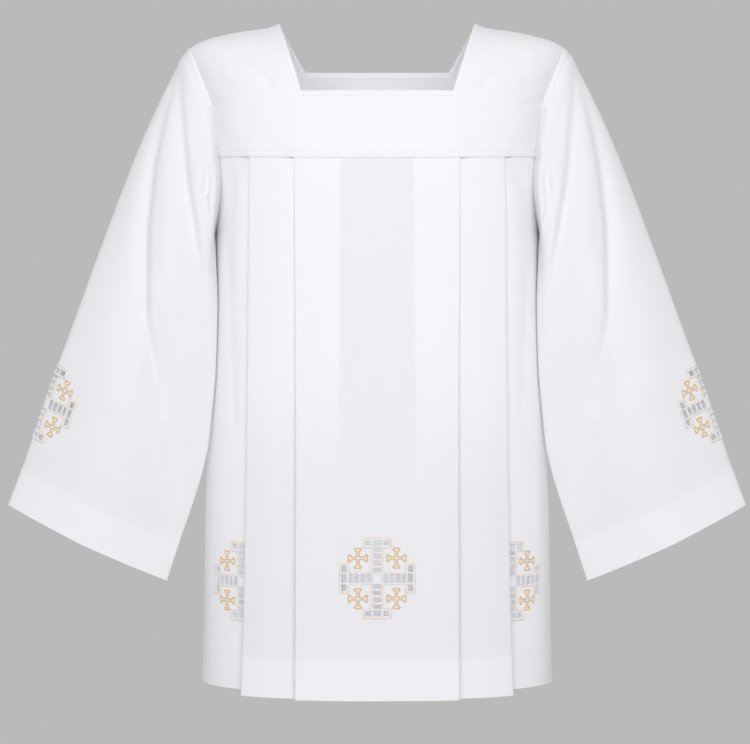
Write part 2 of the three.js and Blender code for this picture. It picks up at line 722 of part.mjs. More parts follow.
/** Adds one named piece to the group. */
function addPiece(group, name, geometry) {
  const mesh = new THREE.Mesh(geometry, WHITE_COTTON.clone());
  mesh.name = name;
  group.add(mesh);
}

/** The whole garment. */
function buildCotta() {
  const group = new THREE.Group();
  addPiece(group, 'yoke_front', yoke('front'));
  addPiece(group, 'yoke_back', yoke('back'));
  addPiece(group, 'body_front', frontPanel());
  addPiece(group, 'body_back', bodyPanel('back'));
  const thickCuff = (row) => (row >= CUFF_HEM_ROW ? HEM_TURN : 0);
  const outerHalf = wall(sleeveGrid(-0.25, 0.25), thickCuff, 1);
  const rightPieces = {
    shoulder_strap_right: wall(strapGrid()),
    sleeve_right_outer: cutOut(outerHalf, crossCutters(sleeveCrossPoint, SLEEVE_CUT)),
    sleeve_right_inner: wall(sleeveGrid(0.25, 0.75), thickCuff, 1),
  };
  for (const [name, geometry] of Object.entries(rightPieces)) {
    addPiece(group, name, geometry);
    addPiece(group, name.replace('right', 'left'), mirrored(geometry));
  }
  return group;
}

export default buildCotta();
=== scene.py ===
"""Looks of a cotta, the short white surplice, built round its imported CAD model.

The cloth's form is worked out here from the garment's own sizes, in millimetres, in the frame of the
CAD model: +Z up, the front faces -Y, the origin on the line of the shoulders, "down" measured below
it. Each CAD wall is replaced by a finer shell of the same form with soft folds, cutwork, stitching
and embroidery. Right and left are the wearer's; the left side mirrors the right.
"""

import math
from functools import lru_cache

import bpy
import numpy as np
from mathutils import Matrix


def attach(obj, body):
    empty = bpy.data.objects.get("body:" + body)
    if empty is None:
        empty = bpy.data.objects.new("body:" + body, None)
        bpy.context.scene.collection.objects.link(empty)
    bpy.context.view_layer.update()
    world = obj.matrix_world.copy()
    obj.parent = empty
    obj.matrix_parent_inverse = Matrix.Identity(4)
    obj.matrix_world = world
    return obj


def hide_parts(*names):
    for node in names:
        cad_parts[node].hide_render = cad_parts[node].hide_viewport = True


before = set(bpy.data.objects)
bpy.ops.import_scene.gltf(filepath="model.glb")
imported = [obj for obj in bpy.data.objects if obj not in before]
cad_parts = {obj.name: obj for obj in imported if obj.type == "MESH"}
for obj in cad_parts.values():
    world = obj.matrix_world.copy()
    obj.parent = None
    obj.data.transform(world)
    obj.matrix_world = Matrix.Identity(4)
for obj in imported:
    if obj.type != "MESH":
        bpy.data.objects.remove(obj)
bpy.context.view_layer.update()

MM = 0.001  # metres in a millimetre

# ---- sizes of the garment, mm

CLOTH = 0.8  # thickness of the shown cloth
HEM_DOWN = 853
HEM_LINE_DOWN = HEM_DOWN - 50  # upper edge of the turned hem
HEM_LIFT_DOWN = 740  # the side hem's rise starts here
SIDE_HEM_RISE = 6
UNDERARM_DOWN = 275
CHEST_DOWN = 105  # a yoke's highest level at the armhole
YOKE_DOWN = 186.5
YOKE_HALF = 200  # from the centre line to where the yoke's edge has risen fully
YOKE_RISE = 8
YOKE_OVER = 1.15  # from a body panel's outermost layer to the middle of the yoke's cloth
YOKE_BAND = 0.7  # height of the stitched band along a yoke's lower edge
YOKE_STITCHES = (0.91, 0.965)  # shares of a yoke's fall
YOKE_SETTLES = (156, 176)  # levels between which a yoke comes down onto the pleats' steps
TURNED_EDGE = 6.0  # width of the neck's turned edge
SEAM_LAP = 9
SEAM_DEEP = 0.25  # how far a seam is drawn in
SEAM_BAND = 6.0  # width of the pressed band along the armhole
NECK_DOWN = {"front": 101, "back": 50}
NECK_HALF = {"front": 94, "back": 96}
NECK_SHARE = 0.5  # the columns of a yoke that span the neck
STRAP_SEAM_DOWN = {"front": 108, "back": 98}
STRAP_SEAM_ACROSS = 210
STRAP_SWING = 75  # degrees from a strap's ridge to its seam
STRAP_LONG = 118  # from the neck to the armhole along the cloth
STRAP_ROUND = 100  # from the ridge to the seam along the cloth
STRAP_TURNED = 0.048  # share of a strap that is turned in at the neck
SLEEVE_HEM_RING = 11
SLEEVE_SEAM_RING = 0.19  # the stitches beside the armhole
CAP_RINGS = 4  # rings over which a sleeve leaves the armhole's form


def table(columns, *rows):
    """Named columns of a short table, as arrays. The first column is the one looked up."""
    names = columns.split()
    return {name: np.array([row[index] for row in rows], float) for index, name in enumerate(names)}


# Level sections of the body: half width, depth in front and behind, and how square they are.
TORSO = table(
    "down side front back square",
    (40, 234, 76, 66, 3.0),
    (105, 216, 89, 86, 3.0),
    (187, 207.5, 107, 98, 2.9),
    (275, 207.5, 111, 104, 3.05),
    (420, 211.7, 114, 109, 2.87),
    (567, 219.5, 116, 114, 2.65),
    (731, 223, 118, 120, 2.5),
    (853, 225.5, 120, 125, 2.5),
)
# The pleats: height from layer to layer, and how far across their folds lie.
PLEAT_STEP = table("down step",(160, 1.2), (200, 1.25), (275, 1.9), (567, 3.2), (853, 4.8))
PLEAT_FOLDS = table(
    "down panelEdge panelHidden secondEdge secondHidden",
    (186, 102, 45, 158.5, 106),
    (450, 99, 47, 159, 105),
    (731, 98, 49, 162.5, 106),
    (853, 98, 49, 165.5, 107),
)
ARMHOLE = table(
    "down across",
    (95, 211),
    (131, 206.5),
    (161, 202),
    (190, 199.5),
    (216, 198.5),
    (245, 201.5),
    (268, 206),
    (275, 207.5),
)
# The ridge of a strap, from the neck (0) to the armhole (1).
RIDGE = table(
    "at across down",
    (0, 126, 0.8),
    (0.15, 143.5, 6.6),
    (0.45, 178.5, 11.4),
    (0.75, 213.5, 18.8),
    (0.9, 231, 24.7),
    (1, 243, 31.5),
)
# Rings of a sleeve: where its outer and inner folds lie, its half depth and how round it is.
SLEEVE = table(
    "ring outer outerDown outerForward inner innerDown innerForward deep round",
    (0, 243.5, 32, 0, 207.8, 275, 0, 46, 1.9),
    (0.25, 249.8, 38.5, 0.6, 207.6, 278.5, 28, 46, 1.87),
    (0.5, 254.8, 44.5, 1.5, 207, 283, 40.5, 46, 1.83),
    (1, 260.5, 58, 4, 206, 294, 48, 46, 1.75),
    (2, 277, 93.5, 12, 204.1, 323, 56, 45, 1.6),
    (3, 300.6, 150, 24, 202.2, 357, 60, 44, 1.48),
    (4, 323.5, 212.5, 36, 202.1, 392, 60.5, 43, 1.4),
    (5, 347.5, 281, 47, 203, 426, 60.5, 42, 1.35),
    (6, 370.5, 347.5, 55, 204.4, 462, 61, 41, 1.33),
    (7, 393.5, 412.5, 59, 208.2, 502, 60.5, 40, 1.31),
    (8, 407, 449, 61, 212.2, 540, 62, 39, 1.3),
    (9, 421, 488.5, 61, 220.5, 579, 62, 38, 1.3),
    (10, 436.5, 534, 61, 234.5, 624, 62, 38, 1.3),
    (11, 450, 574, 60, 250, 668, 61, 37, 1.3),
    (12, 467, 619, 60, 265.5, 715.5, 60, 36, 1.3),
)

# Valleys down the sleeves, and ridges where the depth is negative: side, depth, half width towards
# the outer fold and towards the inner one, and their line as (across, down) points.
SLEEVE_CREASES = [
    ("front", 7.5, 15, 4.2, ((254, 56), (253, 91), (248, 132), (242, 195), (231, 259), (216, 350))),
    ("front", 8.5, 12, 4.8, ((258, 56), (271, 115), (283, 185), (290, 270), (289, 380), (268, 511))),
    ("front", 4, 6, 4, ((241, 36), (232, 67), (221, 95), (216, 118))),
    ("front", 7, 5, 4, ((214, 196), (213, 213), (213, 232))),
    ("front", 4.5, 6, 2.2, ((217, 215), (211, 255), (204, 300))),
    ("front", -2.6, 10, 10, ((232, 150), (218, 250), (209, 340), (209, 440))),
    ("front", -2.4, 14, 14, ((256, 90), (263, 200), (262, 300), (254, 430))),
    ("front", -3, 24, 24, ((300, 170), (330, 330), (352, 470), (372, 620))),
    ("front", 11, 34, 18, ((284, 360), (262, 500), (250, 590), (254, 720))),
    ("front", -2, 20, 20, ((330, 430), (318, 540), (322, 660))),
    ("back", 6.5, 14, 6, ((252, 84), (246, 150), (236, 250), (226, 340), (221, 430))),
    ("back", 7, 14, 7, ((262, 80), (280, 180), (292, 300), (300, 430), (322, 570))),
    ("back", 4, 6, 4, ((240, 40), (230, 70), (220, 100))),
    ("back", -3, 14, 14, ((262, 110), (266, 230), (262, 380))),
    ("back", 5, 30, 20, ((262, 400), (270, 520), (284, 690))),
    ("back", -2.4, 22, 22, ((340, 330), (368, 480), (384, 620))),
]

# Small creases: start and end as (across, down) on a yoke or body panel, half width and height.
FRONT_YOKE_CREASES = [
    ((-206, 114), (-184, 113), 3.0, -1.3),
    ((-196, 165), (-160, 164), 4.0, -0.8),
    ((-200, 150), (-150, 128), 16, 0.8),
    ((203, 113), (180, 115), 3.2, -1.2),
    ((190, 160), (150, 166), 5.0, -0.7),
    ((60, 130), (140, 150), 18, 0.6),
]
BACK_YOKE_CREASES = [
    ((-200, 128), (-170, 131), 4.0, -1.2),
    ((202, 122), (176, 127), 3.5, -1.2),
    ((-120, 110), (-40, 140), 22, 0.8),
    ((30, 90), (120, 130), 24, 0.7),
]
YOKE_CREASES = {"front": FRONT_YOKE_CREASES, "back": BACK_YOKE_CREASES}
# Wrinkles of a strap, as (distance from the neck, distance from the ridge, the front positive).
STRAP_WRINKLES = [
    ((74, 60), (36, 90), 5.0, -2.2),
    ((84, 76), (60, 92), 7, 0.8),
    ((106, 86), (86, 88), 3.5, -1.3),
    ((104, 74), (86, 74), 6, 1.1),
    ((90, 30), (40, 50), 14, 0.7),
    ((74, -60), (36, -90), 6, -1.4),
    ((104, -84), (84, -88), 4, -1.2),
    ((96, -40), (50, -62), 12, 0.8),
]
PANEL_CREASES = [
    ((-168, 192), (-190, 214), 8, -1.6),
    ((-178, 200), (-176, 330), 9, 1.0),
    ((170, 192), (188, 220), 8, -1.4),
    ((182, 230), (180, 380), 10, 1.0),
    ((-196, 300), (-184, 520), 7, -1.2),
    ((197, 330), (188, 500), 7, -1.0),
]

# Soft upright swells of the body panels: where they lie, how long and wide, how high. The side is 1
# in front and -1 behind.
BODY_SWELLS = table(
    "side arc fromDown toDown wide high",
    (1, -62, 180, 560, 20, 0.9),
    (1, 18, 240, 900, 26, -0.8),
    (1, 70, 330, 1000, 18, 1.0),
    (1, -30, 420, 1000, 22, 0.9),
    (1, 136, 200, 1000, 14, 0.9),
    (1, -134, 260, 1000, 15, 1.1),
    (1, 226, 300, 1000, 24, 2.4),
    (1, -232, 330, 1000, 22, 2.0),
    (-1, -70, 200, 700, 22, 1.2),
    (-1, 10, 260, 1000, 28, -1.0),
    (-1, 66, 380, 1000, 18, 1.2),
    (-1, 140, 240, 1000, 14, 1.0),
    (-1, -138, 210, 1000, 15, 1.2),
    (-1, 222, 300, 1000, 26, 2.2),
    (-1, -228, 340, 1000, 22, 2.5),
)

# ---- small tools


def mix(start, end, share):
    return start + (end - start) * share


def ease(value):
    value = np.clip(value, 0, 1)
    return value * value * (3 - 2 * value)


def eased(value, span):
    """Share 0..1 that sets in softly between the two ends of a span."""
    start, end = span
    return ease((value - start) / (end - start))


def nearest(values, value):
    return int(np.argmin(np.abs(values - value)))


def read(rows, where, column):
    """A table's column at a place, on a smooth curve through the rows."""
    at = next(iter(rows.values()))
    values = rows[column]
    before = np.maximum(np.arange(len(at)) - 1, 0)
    after = np.minimum(np.arange(len(at)) + 1, len(at) - 1)
    slopes = (values[after] - values[before]) / (at[after] - at[before])
    row = np.clip(np.searchsorted(at, where) - 1, 0, len(at) - 2)
    span = at[row + 1] - at[row]
    t = np.clip((where - at[row]) / span, 0, 1)
    rise = values[row + 1] - values[row]
    bend = (1 - t) * (slopes[row] * span - rise) + t * (rise - slopes[row + 1] * span)
    return values[row] + rise * t + t * (1 - t) * bend


def unit(vectors):
    length = np.linalg.norm(vectors, axis=-1, keepdims=True)
    return vectors / np.maximum(length, 1e-9)


def run_lengths(points):
    steps = np.linalg.norm(np.diff(points, axis=0), axis=1)
    return np.concatenate([[0], np.cumsum(steps)])


def along_run(points, lengths, where):
    """Points at distances along a run of points."""
    return np.stack([np.interp(where, lengths, points[:, axis]) for axis in range(points.shape[1])], -1)


def bump(value, width):
    return np.exp(-((value / width) ** 2))


def creases(rows, a, b):
    """Height of small creases, each along a line between two points of the (a, b) plane."""
    total = np.zeros(np.broadcast(a, b).shape)
    for start, end, wide, high in rows:
        start, end = np.array(start, float), np.array(end, float)
        along = end - start
        share = ((a - start[0]) * along[0] + (b - start[1]) * along[1]) / (along @ along)
        share = np.clip(share, 0, 1)
        away = np.hypot(a - start[0] - share * along[0], b - start[1] - share * along[1])
        total = total + high * bump(away, wide)
    return total


# ---- the body's form

SECTION_SAMPLES = 400
SECTION_FROM = 30
SECTION_TO = 866


@lru_cache(maxsize=None)
def sections(face):
    """Level sections of the body for every millimetre down, each as points evenly spaced from the
    centre line to the side: x, y, outward direction and whole length."""
    downs = np.arange(SECTION_FROM, SECTION_TO + 1, dtype=float)
    turn = ease(np.linspace(0, 1, SECTION_SAMPLES + 1)) * math.pi / 2
    even = np.linspace(0, 1, SECTION_SAMPLES + 1)
    xs, ys, lengths = [], [], []
    for down in downs:
        power = 2 / read(TORSO, down, "square")
        x = read(TORSO, down, "side") * np.sin(turn) ** power
        y = read(TORSO, down, face) * np.abs(np.cos(turn)) ** power
        y[-1] = 0
        length = run_lengths(np.stack([x, y], -1))
        xs.append(np.interp(even * length[-1], length, x))
        ys.append(np.interp(even * length[-1], length, y))
        lengths.append(length[-1])
    x, y = np.array(xs), np.array(ys)
    along = unit(np.stack([np.gradient(x, axis=1), np.gradient(y, axis=1)], -1))
    return np.dstack([x, y, -along[..., 1], along[..., 0]]), np.array(lengths)


def side_arc(face, down):
    lengths = sections(face)[1]
    return np.interp(down - SECTION_FROM, np.arange(len(lengths)), lengths)


def arc_at(face, down, across):
    """Distance round a level section of the point this far across from the centre line."""
    points, lengths = sections(face)
    row = np.clip(down - SECTION_FROM, 0, len(lengths) - 1.001)
    low = int(row)
    line = mix(points[low, :, 0], points[low + 1, :, 0], row - low)
    even = np.linspace(0, side_arc(face, down), SECTION_SAMPLES + 1)
    return np.interp(across, line, even)


def body_points(face, down, arc, lift):
    """Points on the body, lifted outside its innermost layer. A negative arc is the right side."""
    points, lengths = sections(face)
    down, arc, lift = np.broadcast_arrays(*map(np.asarray, (down, arc, lift)))
    row = np.clip(down - SECTION_FROM, 0, len(lengths) - 1.001)
    low = row.astype(int)
    share = (row - low)[..., None]
    length = mix(lengths[low], lengths[low + 1], row - low)
    column = np.clip(np.abs(arc) / length, 0, 1) * (SECTION_SAMPLES - 0.001)
    left = column.astype(int)
    part = (column - left)[..., None]
    above = mix(points[low, left], points[low, left + 1], part)
    below = mix(points[low + 1, left], points[low + 1, left + 1], part)
    found = mix(above, below, share)
    side = np.where(arc < 0, -1.0, 1.0)
    x = side * (found[..., 0] + found[..., 2] * lift)
    y = found[..., 1] + found[..., 3] * lift
    return np.stack([x, -y if face == "front" else y, -down.astype(float)], -1)


def body_end_arc(face, down):
    """Arc at which the body's cloth ends: at the armhole, or at the side seam below it."""
    seam = side_arc(face, down) - 0.1
    if down >= UNDERARM_DOWN:
        return seam
    return min(arc_at(face, down, read(ARMHOLE, down, "across")), seam)


def yoke_rise(across):
    return YOKE_RISE * (across / YOKE_HALF) ** 3


def yoke_edge_down(across):
    return YOKE_DOWN - yoke_rise(across)


def fold_arc(face, down, name):
    return arc_at(face, down, read(PLEAT_FOLDS, down, name))


@lru_cache(maxsize=None)
def yoke_folds(face):
    return [float(fold_arc(face, YOKE_DOWN, name)) for name in ("panelEdge", "secondEdge")]


def yoke_lift(face, down, arc):
    """Height of a yoke over the body's innermost layer. It spans the pleats, and only at its lower
    edge does it follow their steps."""
    step = read(PLEAT_STEP, YOKE_DOWN, "step")
    panel, second = yoke_folds(face)
    end = body_end_arc(face, min(max(down, CHEST_DOWN), YOKE_DOWN))
    spanned = np.interp(abs(arc), [0, panel + 4, second + 4, end], [4, 4, 2, 0])
    marks = [0, panel + 1, panel + 14, second + 1, second + 14, end]
    stepped = np.interp(abs(arc), marks, [4, 4, 2.2, 2, 0.2, 0])
    return YOKE_OVER + step * mix(spanned, stepped, float(eased(down, YOKE_SETTLES)))


def yoke_across(face, size, arm_across):
    """Distance from the centre line of a column at a share of the yoke's half width."""
    half = NECK_HALF[face]
    if size < NECK_SHARE:
        return half * size / NECK_SHARE
    return mix(half, arm_across, (size - NECK_SHARE) / (1 - NECK_SHARE))


def yoke_point(face, share, fall, extra=0.0):
    """Point on a yoke: share runs -1..1 from right armhole to left, fall 0..1 downward."""
    size = abs(share)
    top_arm = read(ARMHOLE, STRAP_SEAM_DOWN[face], "across")
    top_across = yoke_across(face, size, top_arm)
    edge_across = yoke_across(face, size, read(ARMHOLE, yoke_edge_down(YOKE_HALF), "across"))
    seam = np.clip((top_across - NECK_HALF[face]) / (STRAP_SEAM_ACROSS - NECK_HALF[face]), 0, 1)
    top = mix(NECK_DOWN[face], STRAP_SEAM_DOWN[face], seam)
    down = mix(top, yoke_edge_down(edge_across), fall)
    across = yoke_across(face, size, read(ARMHOLE, down, "across"))
    arc = arc_at(face, down, across)
    side = -1 if share < 0 else 1
    return body_points(face, down, side * arc, yoke_lift(face, down, arc) + extra)


def strap_point(share, turn):
    """Point on the right strap: share 0..1 from neck to armhole, turn -1..1 from back to front."""
    face = "back" if turn < 0 else "front"
    foot = yoke_point(face, -mix(NECK_SHARE, 1, share), 0)
    ridge = np.array([-read(RIDGE, share, "across"), 0, -read(RIDGE, share, "down")])
    full = math.radians(STRAP_SWING)
    swing = abs(turn) * full
    fallen = (1 - math.cos(swing)) / (1 - math.cos(full))
    y = foot[1] * math.sin(swing) / math.sin(full)
    return np.array([mix(ridge[0], foot[0], fallen), y, mix(ridge[2], foot[2], fallen)])


@lru_cache(maxsize=None)
def armhole_run(face):
    """The right armhole on one face, from the shoulder's ridge down to the underarm."""
    sign = 1 if face == "front" else -1
    points = [strap_point(1, sign * index / 12) for index in range(13)]
    points += [yoke_point(face, -1, index / 8) for index in range(1, 9)]
    start = yoke_edge_down(YOKE_HALF)
    for index in range(1, 25):
        down = mix(start, UNDERARM_DOWN, math.sin(index / 24 * math.pi / 2))
        points.append(body_points(face, down, -body_end_arc(face, down), 0))
    points = np.array(points)
    return points, run_lengths(points)


# ---- the sleeve's form


@lru_cache(maxsize=None)
def half_ring(ring):
    """Half of a sleeve ring from outer to inner fold: distance in, depth, lengths and width."""
    value = lambda column: float(read(SLEEVE, ring, column))
    wide = math.hypot(value("outer") - value("inner"), value("innerDown") - value("outerDown"))
    power = 2 / value("round")
    angle = np.linspace(0, math.pi, 401)
    across = np.sign(np.cos(angle)) * np.abs(np.cos(angle)) ** power
    points = np.stack([wide * (1 - across) / 2, value("deep") * np.sin(angle) ** power], -1)
    points[-1, 1] = 0
    return points, run_lengths(points), wide


def ring_length(ring):
    return 2 * half_ring(ring)[1][-1]


def plain_ring(ring, around):
    """Points of a sleeve ring before it is fitted to the armhole; around 0..1 from the outer fold."""
    around = np.mod(around, 1)
    front = around <= 0.5
    half = np.where(front, around, 1 - around) * 2
    points, lengths, wide = half_ring(ring)
    flat = along_run(points, lengths, half * lengths[-1])
    inward = flat[:, 0] / wide
    value = lambda column: read(SLEEVE, ring, column)
    sign = np.where(front, -1, 1)
    x = -mix(value("outer"), value("inner"), inward)
    y = -mix(value("outerForward"), value("innerForward"), inward) + sign * flat[:, 1]
    z = -mix(value("outerDown"), value("innerDown"), inward)
    return np.stack([x, y, z], -1), front, half


def armhole_points(front, half):
    points = np.zeros((len(half), 3))
    for face, chosen in (("front", front), ("back", ~front)):
        run, lengths = armhole_run(face)
        points[chosen] = along_run(run, lengths, half[chosen] * lengths[-1])
    return points


def fold_depth(points, front):
    """How far the soft folds press the sleeve's cloth in."""
    depth = np.zeros(len(points))
    across, down = -points[:, 0], -points[:, 2]
    for side, deep, outer_wide, inner_wide, line in SLEEVE_CREASES:
        places, downs = np.array(line, float).T
        share = (down - downs[0]) / (downs[-1] - downs[0])
        inside = (share > 0) & (share < 1) & (front == (side == "front"))
        away = across - np.interp(down, downs, places)
        profile = bump(away, np.where(away > 0, outer_wide, inner_wide))
        fade = np.sin(np.clip(share, 0, 1) * math.pi) ** 0.6
        depth += np.where(inside, deep * fade * profile, 0)
    return depth


def sleeve_points(ring, around):
    """Points on the right sleeve's ring."""
    points, front, half = plain_ring(ring, around)
    shoulder = 1 - float(ease(ring / CAP_RINGS))
    if shoulder > 0:
        start = plain_ring(0.0, around)[0]
        points = points + shoulder * (armhole_points(front, half) - start)
    valley = fold_depth(points, front) * np.sqrt(np.sin(half * math.pi).clip(0))
    points[:, 1] += np.where(front, 1, -1) * valley * float(ease(ring / 0.5))
    return points


# ---- shells


def grid_normals(grid, closed=False):
    """Outward directions of a grid whose columns run left to right and rows downward."""
    if closed:
        wrapped = np.concatenate([grid[:, -1:], grid, grid[:, :1]], axis=1)
        return grid_normals(wrapped)[:, 1:-1]
    right = np.empty_like(grid)
    right[:, 1:-1] = grid[:, 2:] - grid[:, :-2]
    right[:, 0] = grid[:, 1] - grid[:, 0]
    right[:, -1] = grid[:, -1] - grid[:, -2]
    fall = np.empty_like(grid)
    fall[1:-1] = grid[2:] - grid[:-2]
    fall[0] = grid[1] - grid[0]
    fall[-1] = grid[-1] - grid[-2]
    return unit(np.cross(fall, right))


def neighbour(keep, axis, step, closed):
    """Whether the cell one step before (1) or after (-1) each cell is kept."""
    moved = np.roll(keep, step, axis=axis)
    if axis == 0 or not closed:
        np.moveaxis(moved, axis, 0)[0 if step > 0 else -1] = False
    return moved


def add_attribute(mesh, name, kind, field, values):
    attribute = mesh.attributes.new(name, kind, "POINT")
    attribute.data.foreach_set(field, values.astype(np.float32).ravel())


def shell(name, grid, keep=None, thick=CLOTH, closed=False, painted_light=1.0, inner_painted_light=None):
    """A closed sheet of cloth round a grid of mid-cloth points. keep marks the grid's cells that
    are cloth; closed joins the last column to the first; layered and inner_painted_light give the share of
    the lighter painted tone on the outside and inside."""
    normals = grid_normals(grid, closed)
    rows, columns = grid.shape[:2]
    cells = columns if closed else columns - 1
    if keep is None:
        keep = np.ones((rows - 1, cells), bool)
    thick = np.broadcast_to(np.asarray(thick, float), (rows, columns))[..., None]
    outer_points = grid + normals * thick / 2
    inner_points = grid - normals * thick / 2
    number = np.arange(rows * columns).reshape(rows, columns)
    if closed:
        number = np.concatenate([number, number[:, :1]], axis=1)
    under = rows * columns
    a, b = number[:-1, :-1], number[1:, :-1]
    c, d = number[1:, 1:], number[:-1, 1:]
    faces = [np.stack([a, b, c, d], -1)[keep], np.stack([a, d, c, b], -1)[keep] + under]
    for axis, step, start, end in ((0, 1, a, d), (0, -1, c, b), (1, 1, b, a), (1, -1, d, c)):
        rim = keep & ~neighbour(keep, axis, step, closed)
        p, q = start[rim], end[rim]
        faces.append(np.stack([p, q, q + under, p + under], -1))
    points = np.concatenate([outer_points.reshape(-1, 3), inner_points.reshape(-1, 3)])
    mesh, kept = cloth_mesh(name, points, np.concatenate(faces))
    inner_painted_light = painted_light if inner_painted_light is None else inner_painted_light
    both = [np.broadcast_to(value, (rows, columns)).reshape(-1) for value in (painted_light, inner_painted_light)]
    # Painted light: the share of the lighter painted tone, set against the greyer painted shade of lone
    # cloth.
    add_attribute(mesh, "painted_light", "FLOAT", "value", np.concatenate(both)[kept])
    along = np.linalg.norm(np.diff(grid, axis=1, prepend=grid[:, :1]), axis=-1).cumsum(1)
    fall = np.linalg.norm(np.diff(grid, axis=0, prepend=grid[:1]), axis=-1).cumsum(0)
    yarn = np.stack([along, fall, np.zeros_like(along)], -1).reshape(-1, 3) * MM
    add_attribute(mesh, "yarn", "FLOAT_VECTOR", "vector", np.tile(yarn, (2, 1))[kept])
    return add_object(name, mesh)


def add_object(name, data):
    added = bpy.data.objects.new(name, data)
    bpy.context.scene.collection.objects.link(added)
    return added


def smooth_mesh(name, points, faces):
    mesh = bpy.data.meshes.new(name)
    mesh.from_pydata((points * MM).tolist(), [], faces)
    mesh.shade_smooth()
    return mesh


def cloth_mesh(name, points, faces):
    """Mesh of four-cornered faces, and which points they use."""
    used = np.unique(faces)
    place = np.full(len(points), -1)
    place[used] = np.arange(len(used))
    mesh = smooth_mesh(name, points[used], place[faces].tolist())
    mesh.set_sharp_from_angle(angle=math.radians(48))
    return mesh, used


def mirror_grid(grid):
    flipped = grid[:, ::-1].copy()
    flipped[..., 0] *= -1
    return flipped


# ---- cutwork crosses

CROSS_ARM = {"upright": (9.8, 8.4, 10.1, 6.2), "level": (9.8, 7.65, 5.7, 11.0)}
CROSS_END_UP = {"at": 43, "high": 6.2, "middle": 9.5, "side": 8, "sideAt": 10.9}
CROSS_END_OUT = {"at": 40, "wide": 5.7, "middle": 11, "side": 8, "sideAt": 11.6}
CENTRE_CROSS_DOWN = 704
SIDE_CROSS_DOWN = 713
SIDE_CROSS_ACROSS = 168
SLEEVE_CROSS_DOWN = 488.5
SLEEVE_CROSS_ROUND = 3.5  # from the outer fold to the cross's middle, towards the front
SLEEVE_LEAN = math.radians(20.6)
CROSS_REACH = 52  # half of the square round a cross in which a grid follows its openings
CROSS_SPACING = 4.5  # widest spacing of the grid's lines there


def cross_openings():
    """The openings of one cross: centre (u, v), width and height."""
    found = []
    for side in (-1, 1):
        for index in range(4):
            first, pitch, wide, high = CROSS_ARM["upright"]
            found.append((0, side * (first + index * pitch), wide, high))
            first, pitch, wide, high = CROSS_ARM["level"]
            found.append((side * (first + index * pitch), 0, wide, high))
        up, out = CROSS_END_UP, CROSS_END_OUT
        found.append((0, side * up["at"], up["middle"], up["high"]))
        found.append((side * out["at"], 0, out["wide"], out["middle"]))
        for end in (-1, 1):
            found.append((end * up["sideAt"], side * up["at"], up["side"], up["high"]))
            found.append((side * out["at"], end * out["sideAt"], out["wide"], out["side"]))
    return found


OPENINGS = cross_openings()


def opening_edges(axis):
    """Sorted places of the openings' edges along u (0) or v (1)."""
    edges = set()
    for opening in OPENINGS:
        for side in (-0.5, 0.5):
            edges.add(round(opening[axis] + side * opening[axis + 2], 3))
    return np.array(sorted(edges))


def filled_lines(edges, start, end, spacing):
    """Grid lines from start to end that include the edges, no further apart than the spacing."""
    marks = np.unique(np.concatenate([[start], edges[(edges > start) & (edges < end)], [end]]))
    lines = [marks[0]]
    for before, after in zip(marks[:-1], marks[1:]):
        spans = max(int(math.ceil((after - before) / spacing)), 1)
        lines += list(before + (after - before) * np.arange(1, spans + 1) / spans)
    lines = np.array(lines)
    return lines[np.concatenate([[True], np.diff(lines) > 0.05])]


def open_cells(u, v):
    """Which cells, given by their middles in a cross's own u and v, are open."""
    found = np.zeros(np.broadcast(u, v).shape, bool)
    for centre_u, centre_v, wide, high in OPENINGS:
        found |= (np.abs(u - centre_u) < wide / 2) & (np.abs(v - centre_v) < high / 2)
    return found


# ---- body panels

# Levels between which something changes down a body panel.
SWELLS_START = (195, 240)
CREASES_START = (186, 198)
PAINTED_LIGHT_FADE = (400, 620)  # how far down the lighter painted tone over the pleats' layers shows
CROSS_COLUMNS = (560, 640)  # the side's columns turn to those of its cross
HEM_RISE_FADES = (62, 124)  # distances beyond the second pleat over which the hem's rise ends


def swell(face, arc, down):
    """Soft upright swells of the body's cloth."""
    total = np.zeros(np.broadcast(arc, down).shape)
    for row in range(len(BODY_SWELLS["side"])):
        one = {name: column[row] for name, column in BODY_SWELLS.items()}
        if (one["side"] > 0) != (face == "front"):
            continue
        share = np.clip((down - one["fromDown"]) / (one["toDown"] - one["fromDown"]), 0, 1)
        rise = np.sin(share * math.pi) ** 0.8
        total = total + one["high"] * rise * bump(arc - one["arc"], one["wide"])
    return total


def side_cross_arc(face):
    return arc_at(face, SIDE_CROSS_DOWN, SIDE_CROSS_ACROSS)


def panel_marks(face):
    """Columns of one half of a body panel that follow the crosses: those at the centre, those at
    the side, and the arcs between which the latter lie."""
    centre = filled_lines(np.abs(opening_edges(0)), 0, CROSS_REACH, CROSS_SPACING)
    hidden = fold_arc(face, SIDE_CROSS_DOWN, "secondHidden")
    end = body_end_arc(face, SIDE_CROSS_DOWN)
    side = filled_lines(side_cross_arc(face) + opening_edges(0), hidden, end, CROSS_SPACING)
    return centre, side, hidden, end


